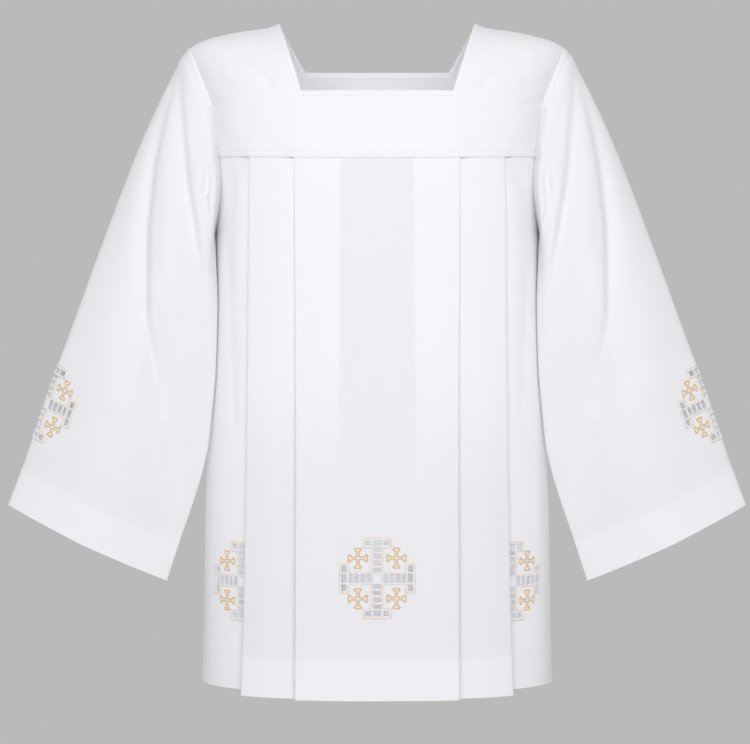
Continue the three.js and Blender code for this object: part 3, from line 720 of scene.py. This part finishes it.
def panel_profile(face, down, marks):
    """Arc, lift and share of the lighter painted tone of each column of one half of a panel at a level."""
    step = float(read(PLEAT_STEP, down, "step"))
    radius = step / 2
    fold = {name: fold_arc(face, down, name) for name in PLEAT_FOLDS if name != "down"}
    panel_edge, panel_hidden = fold["panelEdge"] - radius, fold["panelHidden"] + radius
    second_edge, second_hidden = fold["secondEdge"] - radius, fold["secondHidden"] + radius
    centre, side, hidden_ref, end_ref = marks
    end = body_end_arc(face, down)
    arcs, lifts, painted_lights = [], [], []

    def flat(places, layer, painted_light):
        arcs.extend(places)
        lifts.extend([layer * step] * len(places))
        painted_lights.extend(painted_light if np.ndim(painted_light) else [painted_light] * len(places))

    def turn(centre_arc, layer, outward):
        for angle in np.radians(np.linspace(67.5, -67.5, 7)):
            arcs.append(centre_arc + outward * radius * math.cos(angle))
            lifts.append((layer - 0.5) * step + radius * math.sin(angle))
            painted_lights.append(1)

    # The centre is painted lighter where a pleat's hidden layer lies behind it. Every fold's edge is
    # painted fully lighter.
    behind = lambda places: ease((np.asarray(places) - fold["panelHidden"] + 3) / 6)
    flat(centre, 4, behind(centre))
    flat(mix(CROSS_REACH, panel_edge, np.arange(1, 12) / 11), 4, 1)
    turn(panel_edge, 4, 1)
    flat(mix(panel_edge, panel_hidden, np.arange(0, 7) / 6), 3, 1)
    turn(panel_hidden, 3, -1)
    flat(mix(panel_hidden, second_edge, np.arange(0, 26) / 25), 2, 1)
    turn(second_edge, 2, 1)
    flat(mix(second_edge, second_hidden, np.arange(0, 7) / 6), 1, 1)
    turn(second_hidden, 1, -1)
    scaled = second_hidden + (side - hidden_ref) * (end - second_hidden) / (end_ref - hidden_ref)
    near = float(eased(down, CROSS_COLUMNS))
    places = mix(scaled, np.maximum(side, second_hidden), near)
    places[-1] = end
    flat(places, 0, 1 - ease((places - fold["secondEdge"] + 3) / 6))
    return np.array(arcs), np.array(lifts), np.array(painted_lights)


def panel_levels(face):
    """Levels of a panel's rows."""
    top = YOKE_DOWN - SEAM_LAP
    marks = [top, 262, 272, UNDERARM_DOWN + 0.5, HEM_DOWN - 3]
    marks += [HEM_LINE_DOWN + beside for beside in (-8, -4, -2, 0, 2, 4, 8)]
    if face == "front":
        for middle in (CENTRE_CROSS_DOWN, SIDE_CROSS_DOWN):
            marks += list(middle - opening_edges(1))
    return filled_lines(np.unique(marks), top, HEM_DOWN, 7.5)


def panel_row(face, level, top, marks):
    """Mid-cloth points of one row of a panel, and the share of the lighter painted tone, arc and lift of
    each.
    """
    arcs, lifts, painted_light = panel_profile(face, level, marks)
    arcs = np.concatenate([-arcs[:0:-1], arcs])
    lifts = np.concatenate([lifts[:0:-1], lifts])
    painted_light = np.concatenate([painted_light[:0:-1], painted_light])
    on_side = lifts < read(PLEAT_STEP, level, "step") / 2
    # The lighter painted tone over the pleats fades lower down. The side panels are single cloth that turns
    # away from the light, and they are painted the lighter tone all over as a painted highlight against
    # their shade.
    seen = 1 - 0.9 * float(eased(level, PAINTED_LIGHT_FADE))
    painted_light = np.where(on_side, 1, seen * painted_light)
    follow = 1 - float(eased(level, (top, UNDERARM_DOWN)))
    raised = follow * yoke_rise(np.minimum(np.abs(arcs), YOKE_HALF))
    hem = float(eased(level, (HEM_LIFT_DOWN, HEM_DOWN)))
    from_pleat = np.abs(arcs) - fold_arc(face, level, "secondEdge")
    beside = np.where(on_side, 1 - eased(from_pleat, HEM_RISE_FADES), 0)
    down = level - raised - SIDE_HEM_RISE * hem * beside
    below = level - HEM_LINE_DOWN
    ridge = 0.55 * bump(below + 1, 3.5) + 0.25 * ease(below / 4)
    soft = swell(face, arcs, level) * eased(level, SWELLS_START) * min(level / 600, 1)
    soft = soft + creases(PANEL_CREASES, arcs, level) * eased(level, CREASES_START)
    return body_points(face, down, arcs, lifts + ridge + soft), painted_light, arcs, lifts


def cut_cells(levels, arcs, lifts):
    """Which cells of the front panel its crosses' openings cut out."""
    middle_arc = (arcs[:-1, :-1] + arcs[1:, 1:]) / 2
    middle_down = ((levels[:-1] + levels[1:]) / 2)[:, None]
    step = read(PLEAT_STEP, levels[:-1], "step")[:, None]
    layer = np.round(lifts[:-1, :-1] / step)
    flat = np.abs(lifts[:-1, :-1] - lifts[:-1, 1:]) < 0.01
    cut = open_cells(middle_arc, CENTRE_CROSS_DOWN - middle_down) & (layer == 4)
    for side in (-1, 1):
        from_cross = middle_arc - side * side_cross_arc("front")
        cut |= open_cells(from_cross, SIDE_CROSS_DOWN - middle_down) & (layer == 0)
    return cut & flat


def body_panel(face):
    """A pleated body panel; the front one has its crosses cut out."""
    marks = panel_marks(face)
    levels = panel_levels(face)
    rows = [panel_row(face, level, levels[0], marks) for level in levels]
    grid, painted_light, arcs, lifts = (np.array(part) for part in zip(*rows))
    # The turned hem lies double and is painted the lighter tone.
    hemmed = ease((levels - HEM_LINE_DOWN + 1) / 2)
    painted_light = np.maximum(painted_light, hemmed[:, None])
    keep = None
    if face == "front":
        keep = ~cut_cells(levels, arcs, lifts)
    else:
        grid, painted_light = grid[:, ::-1], painted_light[:, ::-1]
    piece = shell(f"body_{face}_cloth", grid, keep, painted_light=painted_light)
    finish_cloth(piece, f"body_{face}")
    stitches = Stitches(f"body_{face}_hem_stitches")
    row = nearest(levels, HEM_LINE_DOWN)
    stitches.row(grid[row], grid_normals(grid)[row])
    stitches.build()
    return piece


# ---- yokes, straps and sleeves


def armhole_seam(shares):
    """How far a yoke or strap is drawn in at the armhole, by column."""
    return SEAM_DEEP * ease((np.abs(shares) - 0.972) / 0.028)[None, :]


def yoke(face):
    """A yoke, with its neck edge turned in and a stitched band along its lower edge."""
    necks = np.linspace(0, NECK_SHARE, 30)
    half = np.concatenate([necks, np.linspace(NECK_SHARE, 0.97, 36)[1:], [0.98, 0.99, 1]])
    shares = np.concatenate([-half[:0:-1], half])
    if face == "back":
        shares = shares[::-1]
    turned = TURNED_EDGE / (YOKE_DOWN - NECK_DOWN[face])
    falls = [0, turned * 0.9, turned, turned + 0.012]
    falls = np.concatenate([falls, np.linspace(turned + 0.03, 0.88, 24), np.linspace(0.89, 1, 14)])
    grid = np.array([[yoke_point(face, share, fall) for share in shares] for fall in falls])
    normals = grid_normals(grid)
    top, foot = YOKE_STITCHES
    relief = YOKE_BAND * (ease((falls - top) / 0.02) - 0.6 * bump(falls - foot, 0.012))
    relief -= 0.6 * bump(falls - top, 0.012) + 0.9 * ease((falls - 0.985) / 0.015)
    soft = creases(YOKE_CREASES[face], grid[..., 0], -grid[..., 2]) - armhole_seam(shares)
    grid = grid + normals * (relief[:, None] + soft)[..., None]
    neck = np.abs(shares) <= NECK_SHARE
    necked = (falls <= turned)[:, None] & neck[None, :]
    # The neck's turned edge lies double, and its inside is painted the lighter tone.
    piece = shell(f"yoke_{face}_cloth", grid, thick=1.1 + 1.3 * necked, inner_painted_light=0.9 * necked)
    finish_cloth(piece, f"yoke_{face}")
    stitches = Stitches(f"yoke_{face}_stitches")
    for fall in YOKE_STITCHES:
        row = nearest(falls, fall)
        stitches.row(grid[row], normals[row], lift=0.55)
    row = nearest(falls, turned)
    stitches.row(grid[row][neck], normals[row][neck], lift=1.2)
    stitches.build()
    return piece


def strap(side):
    """A shoulder strap with a few slack wrinkles towards the front seam."""
    shares = np.concatenate([[1, 0.992, 0.984], np.linspace(0.975, 0.06, 44), [0.05, 0.046, 0]])
    turns = np.linspace(-1, 1, 84)
    grid = np.array([[strap_point(share, turn) for share in shares] for turn in turns])
    soft = creases(STRAP_WRINKLES, shares[None, :] * STRAP_LONG, turns[:, None] * STRAP_ROUND)
    from_end = (1 - np.abs(turns)) * STRAP_ROUND
    ends = (0.7 * bump(from_end - 4, 2.2) - 0.3 * bump(from_end, 1.2))[:, None]
    grid = grid + grid_normals(grid) * (soft - armhole_seam(shares) + ends)[..., None]
    necked = (shares <= STRAP_TURNED)[None, :]
    if side == "left":
        grid, necked = mirror_grid(grid), necked[:, ::-1]
    name = f"shoulder_strap_{side}"
    # The neck's turned edge lies double, and its inside is painted the lighter tone.
    piece = shell(f"{name}_cloth", grid, thick=0.9 + 1.1 * necked, inner_painted_light=0.9 * necked)
    finish_cloth(piece, name)
    return piece


def ring_for_down(down):
    """The sleeve ring whose outer fold lies at this level."""
    low, high = 0.0, 12.0
    for _ in range(24):
        middle = (low + high) / 2
        if read(SLEEVE, middle, "outerDown") < down:
            low = middle
        else:
            high = middle
    return round(low, 5)


def sleeve_rings():
    """Rings of the sleeve's rows, following the cross's openings along the outer fold."""
    near = filled_lines(opening_edges(1), -CROSS_REACH, CROSS_REACH, CROSS_SPACING)[::-1]
    crossed = [ring_for_down(SLEEVE_CROSS_DOWN - v * math.cos(SLEEVE_LEAN)) for v in near]
    above = [0, 0.02, 0.05, 0.1, 0.15, SLEEVE_SEAM_RING, 0.22, 0.25]
    above += list(np.linspace(0.3, crossed[0], 66)[:-1])
    hem = SLEEVE_HEM_RING
    marks = np.array([hem - 0.2, hem - 0.1, hem, hem + 0.1, hem + 0.2])
    below = filled_lines(marks, crossed[-1], 12.0, 0.16)[1:]
    return np.array(above + crossed + list(below))


def sleeve_row(ring, near):
    """Points of a ring: at distances from the outer fold near its cross, then evenly round."""
    length = ring_length(ring)
    start = CROSS_REACH / length
    rest = mix(start, 1 - start, np.linspace(0, 1, 104)[1:-1])
    return sleeve_points(ring, np.concatenate([near / length, rest]))


def sleeve(side):
    """A sleeve: one tube of cloth with a cross round its outer fold."""
    near = filled_lines(opening_edges(0) + SLEEVE_CROSS_ROUND, -CROSS_REACH, CROSS_REACH, 3.2)
    rings = sleeve_rings()
    grid = np.array([sleeve_row(ring, near) for ring in rings.tolist()])
    normals = grid_normals(grid, closed=True)
    hem = 0.7 * bump(rings - SLEEVE_HEM_RING, 0.06) + 0.4 * ease((rings - SLEEVE_HEM_RING) / 0.06)
    from_seam = np.linalg.norm(grid - grid[:1], axis=-1)
    band = 0.6 * (1 - ease((from_seam - SEAM_BAND) / 1.5)) - 2 * SEAM_DEEP * (1 - ease(from_seam / 2))
    grid = grid + normals * (hem[:, None] + band)[..., None]
    downs = read(SLEEVE, (rings[:-1] + rings[1:]) / 2, "outerDown")
    v = (SLEEVE_CROSS_DOWN - downs) / math.cos(SLEEVE_LEAN)
    u = (near[:-1] + near[1:]) / 2 - SLEEVE_CROSS_ROUND
    keep = np.ones((len(rings) - 1, grid.shape[1]), bool)
    keep[:, :len(u)] = ~open_cells(u[None, :], v[:, None])
    # The sleeve is painted a little of the lighter tone all over, and fully at its turned hem.
    hemmed = 0.3 + 0.7 * ease((rings - SLEEVE_HEM_RING + 0.02) / 0.04)
    stitches = Stitches(f"sleeve_{side}_stitches", side == "left")
    for ring in (SLEEVE_HEM_RING, SLEEVE_SEAM_RING):
        row = nearest(rings, ring)
        stitches.row(grid[row], normals[row], closed=True)
    stitches.build()
    if side == "left":
        grid = mirror_grid(grid)
        keep = np.roll(keep[:, ::-1], -1, axis=1)
    piece = shell(f"sleeve_{side}_cloth", grid, keep, closed=True, painted_light=hemmed[:, None])
    finish_cloth(piece, f"sleeve_{side}_outer", f"sleeve_{side}_inner")
    return piece


def finish_cloth(piece, *nodes):
    piece.data.materials.append(MATERIALS["white_cloth"])
    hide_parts(*nodes)
    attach(piece, "root")


# ---- threads and embroidery


def tube_mesh(points, normals, wide, high, closed, sides=6):
    """Points and faces of a flattened tube that lies on a surface along a path."""
    ahead = np.roll(points, -1, axis=0) - np.roll(points, 1, axis=0)
    if not closed:
        ahead[0] = points[1] - points[0]
        ahead[-1] = points[-1] - points[-2]
    across = unit(np.cross(normals, unit(ahead)))
    ring = []
    for index in range(sides):
        angle = 2 * math.pi * index / sides
        ring.append(points + across * (wide / 2 * math.cos(angle)) + normals * (high / 2 * math.sin(angle)))
    vertices = np.stack(ring, 1).reshape(-1, 3)
    count = len(points)
    last = count if closed else count - 1
    faces = []
    for step in range(last):
        for index in range(sides):
            following = (index + 1) % sides
            here, there = step * sides, (step + 1) % count * sides
            faces.append((here + index, here + following, there + following, there + index))
    if not closed:
        end = (count - 1) * sides
        for index in range(1, sides // 2):
            near, far = sides - index, index
            faces.append((near, near - 1, far + 1, far))
            faces.append((end + far, end + far + 1, end + near - 1, end + near))
        faces.append((0, sides - 1, 1, 1))
        faces.append((end + 1, end + sides - 1, end, end))
    return vertices, faces


class Threads:
    """Collects many small tubes into one object."""

    def __init__(self, name, material):
        self.name = name
        self.material = material
        self.points = []
        self.faces = []
        self.count = 0

    def add(self, vertices, faces):
        self.points.append(vertices)
        self.faces.extend([tuple(corner + self.count for corner in dict.fromkeys(face)) for face in faces])
        self.count += len(vertices)

    def line(self, place, path, wide, high, lift, closed=False, spacing=1.2):
        """A raised line of stitches along a path of (u, v) points on a surface."""
        path = np.asarray(path, float)
        if closed:
            path = np.concatenate([path, path[:1]])
        lengths = run_lengths(path)
        spans = max(int(round(lengths[-1] / spacing)), 2)
        where = np.linspace(0, lengths[-1], spans + 1)
        if closed:
            where = where[:-1]
        uv = along_run(path, lengths, where)
        points, normals = place(uv[:, 0], uv[:, 1])
        points = points + normals * lift
        self.add(*tube_mesh(points, normals, wide, high, closed))

    def build(self):
        add_trim(self.name, np.concatenate(self.points), self.faces, self.material)


class Stitches:
    """Rows of short sewing stitches, collected into one object."""

    LONG, GAP, WIDE, HIGH = 2.6, 1.2, 0.55, 0.35

    def __init__(self, name, mirrored=False):
        self.name = name
        self.flip = np.array([-1, 1, 1]) if mirrored else np.ones(3)
        self.points = []

    def row(self, points, normals, lift=CLOTH / 2, closed=False):
        if closed:
            points, normals = np.concatenate([points, points[:1]]), np.concatenate([normals, normals[:1]])
        lengths = run_lengths(points)
        starts = np.arange(1, lengths[-1] - self.LONG, self.LONG + self.GAP)
        head = along_run(points, lengths, starts)
        foot = along_run(points, lengths, starts + self.LONG)
        out = unit(along_run(normals, lengths, starts + self.LONG / 2))
        across = unit(np.cross(out, foot - head)) * self.WIDE / 2
        middle = (head + foot) / 2 + out * lift
        top, under = middle + out * self.HIGH, middle - out * self.HIGH / 2
        ring = [head + out * lift, middle - across, top, middle + across, under, foot + out * lift]
        self.points.append(np.stack(ring, 1))

    def build(self):
        points = np.concatenate(self.points) * self.flip
        grain = [(0, 2, 1), (0, 3, 2), (0, 4, 3), (0, 1, 4), (5, 1, 2), (5, 2, 3), (5, 3, 4), (5, 4, 1)]
        faces = (np.array(grain) + 6 * np.arange(len(points))[:, None, None]).reshape(-1, 3)
        add_trim(self.name, points.reshape(-1, 3), faces.tolist(), "white_satin")


def add_trim(name, points, faces, material):
    piece = add_object(name, smooth_mesh(name, points, faces))
    piece.data.materials.append(MATERIALS[material])
    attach(piece, "root")


PATCH_STEP = 2.0  # spacing of the grid on which a cross is laid


def patch(points_of):
    """A fine grid of a surface round a cross, as a function from (u, v) to points and normals."""
    places = np.arange(-CROSS_REACH - 2, CROSS_REACH + 2.1, PATCH_STEP)
    grid = np.array([points_of(places, v) for v in places])
    normals = grid_normals(grid[::-1])[::-1]

    def pick(values, u, v):
        column = (np.asarray(u) - places[0]) / PATCH_STEP
        row = (np.asarray(v) - places[0]) / PATCH_STEP
        left = np.clip(column.astype(int), 0, len(places) - 2)
        low = np.clip(row.astype(int), 0, len(places) - 2)
        part, share = (column - left)[..., None], (row - low)[..., None]
        below = mix(values[low, left], values[low, left + 1], part)
        above = mix(values[low + 1, left], values[low + 1, left + 1], part)
        return mix(below, above, share)

    return lambda u, v: (pick(grid, u, v), unit(pick(normals, u, v)))


def panel_patch(middle_arc, middle_down, layer):
    """The front panel round a cross that lies on this layer of the pleats."""

    def points_of(u, v):
        down = middle_down - v
        arc = middle_arc + u
        lift = layer * read(PLEAT_STEP, down, "step") + swell("front", arc, down)
        return body_points("front", down, arc, lift)

    return patch(points_of)


def sleeve_patch(sign):
    """The sleeve round its cross; the sign is 1 for the right one and -1 for the left."""

    def points_of(u, v):
        ring = ring_for_down(SLEEVE_CROSS_DOWN - v * math.cos(SLEEVE_LEAN))
        around = (sign * u + SLEEVE_CROSS_ROUND) / ring_length(ring)
        return sleeve_points(ring, around) * np.array([sign, 1, 1])

    return patch(points_of)


def rounded(corners, radius):
    """A path with its corners cut to short arcs."""
    corners = np.asarray(corners, float)
    count = len(corners)
    path = []
    for index in range(count):
        corner = corners[index]
        before = corners[index - 1] - corner
        after = corners[(index + 1) % count] - corner
        reach = min(radius, np.linalg.norm(before) / 2.2, np.linalg.norm(after) / 2.2)
        start = corner + unit(before) * reach
        end = corner + unit(after) * reach
        for share in (0, 0.33, 0.67, 1):
            path.append(mix(mix(start, corner, share), mix(corner, end, share), share))
    return np.array(path)


CROSS_OUTLINE = {
    "arm": 7.5,
    "capHalfUp": 17.3,
    "capInUp": 37.0,
    "capOutUp": 49.1,
    "capHalfOut": 18.1,
    "capInOut": 34.2,
    "capOutOut": 45.6,
}
CROSSLET_AT = (23.3, 24.6)
CROSSLET_SCALE = (0.98, 1.03)


def cross_outline():
    """Outline of the large cross, as one closed path."""
    size = CROSS_OUTLINE
    arm = size["arm"]
    up = [(arm, arm), (arm, size["capInUp"]), (size["capHalfUp"], size["capInUp"])]
    up += [(size["capHalfUp"], size["capOutUp"])]
    out = [(arm, arm), (size["capInOut"], arm), (size["capInOut"], size["capHalfOut"])]
    out += [(size["capOutOut"], size["capHalfOut"])]
    top = up + [(-u, v) for u, v in reversed(up)]
    right = out + [(u, -v) for u, v in reversed(out)]
    path = top[:0:-1] + right
    path += [(u, -v) for u, v in top[1:]]
    path += [(-u, -v) for u, v in right[1:-1]]
    return rounded(path, 1.6)


def crosslet_outline(centre_u, centre_v):
    """Outline of a small cross with flared ends, as one closed path."""
    arm = [(1.35, 1.35), (1.35, 7.9), (2.5, 9.0), (4.1, 9.3), (4.1, 11.7)]
    arm += [(-u, v) for u, v in reversed(arm)]
    path = []
    for quarter in range(4):
        turn = -quarter * math.pi / 2
        for u, v in arm[::-1][:-1]:
            path.append((u * math.cos(turn) - v * math.sin(turn), u * math.sin(turn) + v * math.cos(turn)))
    path = rounded(np.array(path) * np.array(CROSSLET_SCALE), 0.8)
    return path + np.array([centre_u, centre_v])


def cross_bars():
    """White satin bars between and round the openings: start, end and width."""
    bars = []
    for side in (-1, 1):
        bars.append(((side * 6.25, -47), (side * 6.25, 47), 2.2))
        bars.append(((-43.5, side * 6.5), (43.5, side * 6.5), 1.9))
        for v, wide in ((5.9, 1.5), (14.0, 2.0), (22.4, 2.0), (30.8, 2.0), (39.0, 1.8)):
            bars.append(((-5.6, side * v), (5.6, side * v), wide))
        for u, wide in ((5.9, 1.8), (13.6, 1.8), (21.3, 1.8), (28.9, 1.8), (36.4, 1.5)):
            bars.append(((side * u, -6), (side * u, 6), wide))
        bars.append(((-16.2, side * 38.5), (16.2, side * 38.5), 2.4))
        bars.append(((-16.2, side * 47.5), (16.2, side * 47.5), 2.6))
        bars.append(((side * 35.7, -17), (side * 35.7, 17), 2.5))
        bars.append(((side * 44.1, -17), (side * 44.1, 17), 2.5))
        for end in (-1, 1):
            bars.append(((end * 15.9, side * 38.5), (end * 15.9, side * 47.5), 2.3))
            bars.append(((side * 35.7, end * 16.7), (side * 44.1, end * 16.7), 2.3))
    return bars


def embroider(name, place):
    """The stitches of one cross."""
    white = Threads(f"{name}_satin_bars", "white_satin")
    for start, end, wide in cross_bars():
        white.line(place, [start, end], wide, 0.7, CLOTH / 2 + 0.1, spacing=1.8)
    edge = Threads(f"{name}_outline", "peach_thread")
    edge.line(place, cross_outline(), 0.85, 0.6, CLOTH / 2 + 0.15, closed=True)
    gold = Threads(f"{name}_gold_crosslets", "gold_thread")
    for side_u in (-1, 1):
        for side_v in (-1, 1):
            outline = crosslet_outline(side_u * CROSSLET_AT[0], side_v * CROSSLET_AT[1])
            gold.line(place, outline, 1.55, 0.9, CLOTH / 2 + 0.15, closed=True, spacing=0.8)
    for threads in (white, edge, gold):
        threads.build()


# ---- materials

WAVE_TURN = 2 * math.pi / 20  # the wave texture's scale for one band a metre
# Painted shade and painted light: the greyer white of lone cloth, and the lighter white of doubled cloth
# and of the side panels.
PAINTED_SHADE_WHITE = (0.845, 0.84, 0.878)
PAINTED_LIGHT_WHITE = (0.905, 0.90, 0.935)


def feed(tree, node, inputs):
    """Sets a node's inputs to values or joins them to other nodes' outputs."""
    for name, value in inputs.items():
        if isinstance(value, bpy.types.NodeSocket):
            tree.links.new(value, node.inputs[name])
        else:
            node.inputs[name].default_value = value


def add_node(tree, kind, inputs):
    node = tree.nodes.new(kind)
    feed(tree, node, inputs)
    return node


def attribute(tree, name, output):
    node = tree.nodes.new("ShaderNodeAttribute")
    node.attribute_name = name
    return node.outputs[output]


def combine(tree, operation, *values):
    node = add_node(tree, "ShaderNodeMath", dict(enumerate(values)))
    node.operation = operation
    return node.outputs[0]


def noise(tree, scale, detail):
    place = tree.nodes.new("ShaderNodeTexCoord").outputs["Object"]
    inputs = {"Vector": place, "Scale": scale, "Detail": detail}
    return add_node(tree, "ShaderNodeTexNoise", inputs).outputs["Fac"]


def shade(tree, amount, *stops):
    """Colour for an amount, between two stops of place and colour."""
    node = add_node(tree, "ShaderNodeValToRGB", {"Fac": amount})
    for element, (place, colour) in zip(node.color_ramp.elements, stops):
        element.position = place
        element.color = (*colour, 1)
    return node.outputs["Color"]


def weave(tree, pitch, strength, slub):
    """Plain weave with slight unevenness of the yarn, as bump."""
    waves = []
    for direction in ("X", "Y"):
        inputs = {"Vector": attribute(tree, "yarn", "Vector"), "Scale": WAVE_TURN / (pitch * MM)}
        wave = add_node(tree, "ShaderNodeTexWave", inputs | {"Distortion": 0.4})
        wave.bands_direction = direction
        waves.append(wave.outputs["Fac"])
    yarns = combine(tree, "MAXIMUM", *waves)
    height = combine(tree, "MULTIPLY_ADD", noise(tree, 260, 3), slub, yarns)
    inputs = {"Strength": strength, "Distance": 0.0002, "Height": height}
    return add_node(tree, "ShaderNodeBump", inputs).outputs["Normal"]


def new_material(name, inputs_of):
    """A material whose surface takes the inputs that a function makes for its node tree."""
    material = bpy.data.materials.new(name)
    material.use_nodes = True
    tree = material.node_tree
    feed(tree, tree.nodes["Principled BSDF"], inputs_of(tree))
    return material


def white_cloth():
    """Fine white cotton, with painted light in its colour. Where one layer lies alone it is painted a touch
    greyer, a painted shade for the dark inside that thin cloth lets through, than where pleats lie double;
    hems and the neck's turned edge are lighter too. The side panels turn away from the light and are
    painted the lighter tone all over, a painted highlight against their shade."""

    def inputs(tree):
        # The share of the lighter painted tone, with a little random mottling.
        painted_light = attribute(tree, "painted_light", "Fac")
        amount = combine(tree, "MULTIPLY_ADD", noise(tree, 9, 2), 0.22, painted_light)
        return {
            "Roughness": 0.9,
            "Sheen Weight": 0.12,
            "Specular IOR Level": 0.25,
            "Base Color": shade(tree, amount, (0.05, PAINTED_SHADE_WHITE), (1.0, PAINTED_LIGHT_WHITE)),
            "Normal": weave(tree, 0.6, 0.25, 0.8),
        }

    return new_material("white_cloth", inputs)


def thread(name, colour, roughness, sheen):
    """Embroidery thread with the fine ribs of satin stitch."""
    darker = [channel * 0.88 for channel in colour]

    def inputs(tree):
        return {
            "Roughness": roughness,
            "Sheen Weight": sheen,
            "Base Color": shade(tree, noise(tree, 500, 2), (0.3, darker), (0.7, colour)),
            "Normal": weave(tree, 0.45, 0.5, 0.3),
        }

    return new_material(name, inputs)


MATERIALS = {
    "white_cloth": white_cloth(),
    "white_satin": thread("white_satin", (0.93, 0.93, 0.92), 0.55, 0.2),
    "peach_thread": thread("peach_thread", (0.87, 0.70, 0.53), 0.6, 0.1),
    "gold_thread": thread("gold_thread", (0.80, 0.53, 0.19), 0.45, 0.1),
}

# ---- camera, light and stage

PHOTO_WIDE = 750
MM_PER_PIXEL = 1.3  # at the garment's mid depth
CAMERA_BACK = 2250
CAMERA_LEFT = 2.7
CAMERA_DOWN = 451.6
SENSOR = 36


def set_camera():
    data = bpy.data.cameras.new("camera")
    data.sensor_fit = "HORIZONTAL"
    data.sensor_width = SENSOR
    data.lens = SENSOR * CAMERA_BACK / (PHOTO_WIDE * MM_PER_PIXEL)
    camera = add_object("camera", data)
    camera.location = (-CAMERA_LEFT * MM, -CAMERA_BACK * MM, -CAMERA_DOWN * MM)
    camera.rotation_euler = (math.pi / 2, 0, 0)
    bpy.context.scene.camera = camera


def set_light(name, place, target, size, power):
    data = bpy.data.lights.new(name, "AREA")
    data.shape = "RECTANGLE"
    data.size, data.size_y = size
    data.energy = power
    light = add_object(name, data)
    light.location = place
    aim = np.array(target) - np.array(place)
    tilt = math.acos(-aim[2] / np.linalg.norm(aim))
    light.rotation_euler = (tilt, 0, math.atan2(aim[1], aim[0]) - math.pi / 2)


def set_inner_light(name, place, power):
    """Soft glow inside the garment, which stands for the light that thin cotton lets through."""
    data = bpy.data.lights.new(name, "POINT")
    data.energy = power
    data.shadow_soft_size = 0.03
    light = add_object(name, data)
    light.location = place
    light.visible_camera = False


BACKGROUND = (0.491, 0.491, 0.491)
FLOOR_GREY = (0.62, 0.62, 0.62)
FLOOR_DOWN = 1.36  # metres, as is the radius
FLOOR_RADIUS = 1.45


def set_stage():
    scene = bpy.context.scene
    scene.view_settings.view_transform = "Standard"
    world = bpy.data.worlds.new("studio")
    world.use_nodes = True
    feed(world.node_tree, world.node_tree.nodes["Background"], {"Color": (*BACKGROUND, 1)})
    scene.world = world
    turns = np.linspace(0, 2 * math.pi, 97)[:-1]
    ring = [(FLOOR_RADIUS * math.cos(turn), FLOOR_RADIUS * math.sin(turn), -FLOOR_DOWN) for turn in turns]
    mesh = bpy.data.meshes.new("floor")
    mesh.from_pydata(ring, [], [tuple(range(len(ring)))])
    inputs = {"Base Color": (*FLOOR_GREY, 1), "Roughness": 0.9}
    mesh.materials.append(new_material("floor", lambda tree: inputs))
    floor = add_object("floor", mesh)


set_camera()
set_stage()
# Places, targets and sizes are in metres, powers in watts.
set_light("front", (0, -2.6, 0.35), (0, 0, -0.5), (3.0, 1.4), 44.5)
set_light("above", (0, -0.7, 2.0), (0, 0, -0.4), (2.4, 1.4), 1.5)
set_light("behind", (0, 2.5, 0.8), (0, 0, -0.45), (3.0, 1.6), 40)
for down, power in ((0.22, 0.01), (0.44, 0.16), (0.66, 0.22)):
    set_inner_light(f"inside_{down}", (0, 0, -down), power)
for side in (-1, 1):
    set_inner_light(f"neck_{side}", (side * 0.1, 0.01, -0.055), 0.011)
    set_inner_light(f"sleeve_{side}_upper", (side * 0.27, -0.045, -0.3), 0.03)
    set_inner_light(f"sleeve_{side}_lower", (side * 0.345, -0.06, -0.54), 0.04)

# ---- the garment

for face in ("front", "back"):
    cloth = body_panel(face)
    band = yoke(face)
for side in ("right", "left"):
    over = strap(side)
    tube = sleeve(side)

embroider("centre_cross", panel_patch(0, CENTRE_CROSS_DOWN, 4))
embroider("right_panel_cross", panel_patch(-side_cross_arc("front"), SIDE_CROSS_DOWN, 0))
embroider("left_panel_cross", panel_patch(side_cross_arc("front"), SIDE_CROSS_DOWN, 0))
embroider("right_sleeve_cross", sleeve_patch(1))
embroider("left_sleeve_cross", sleeve_patch(-1))
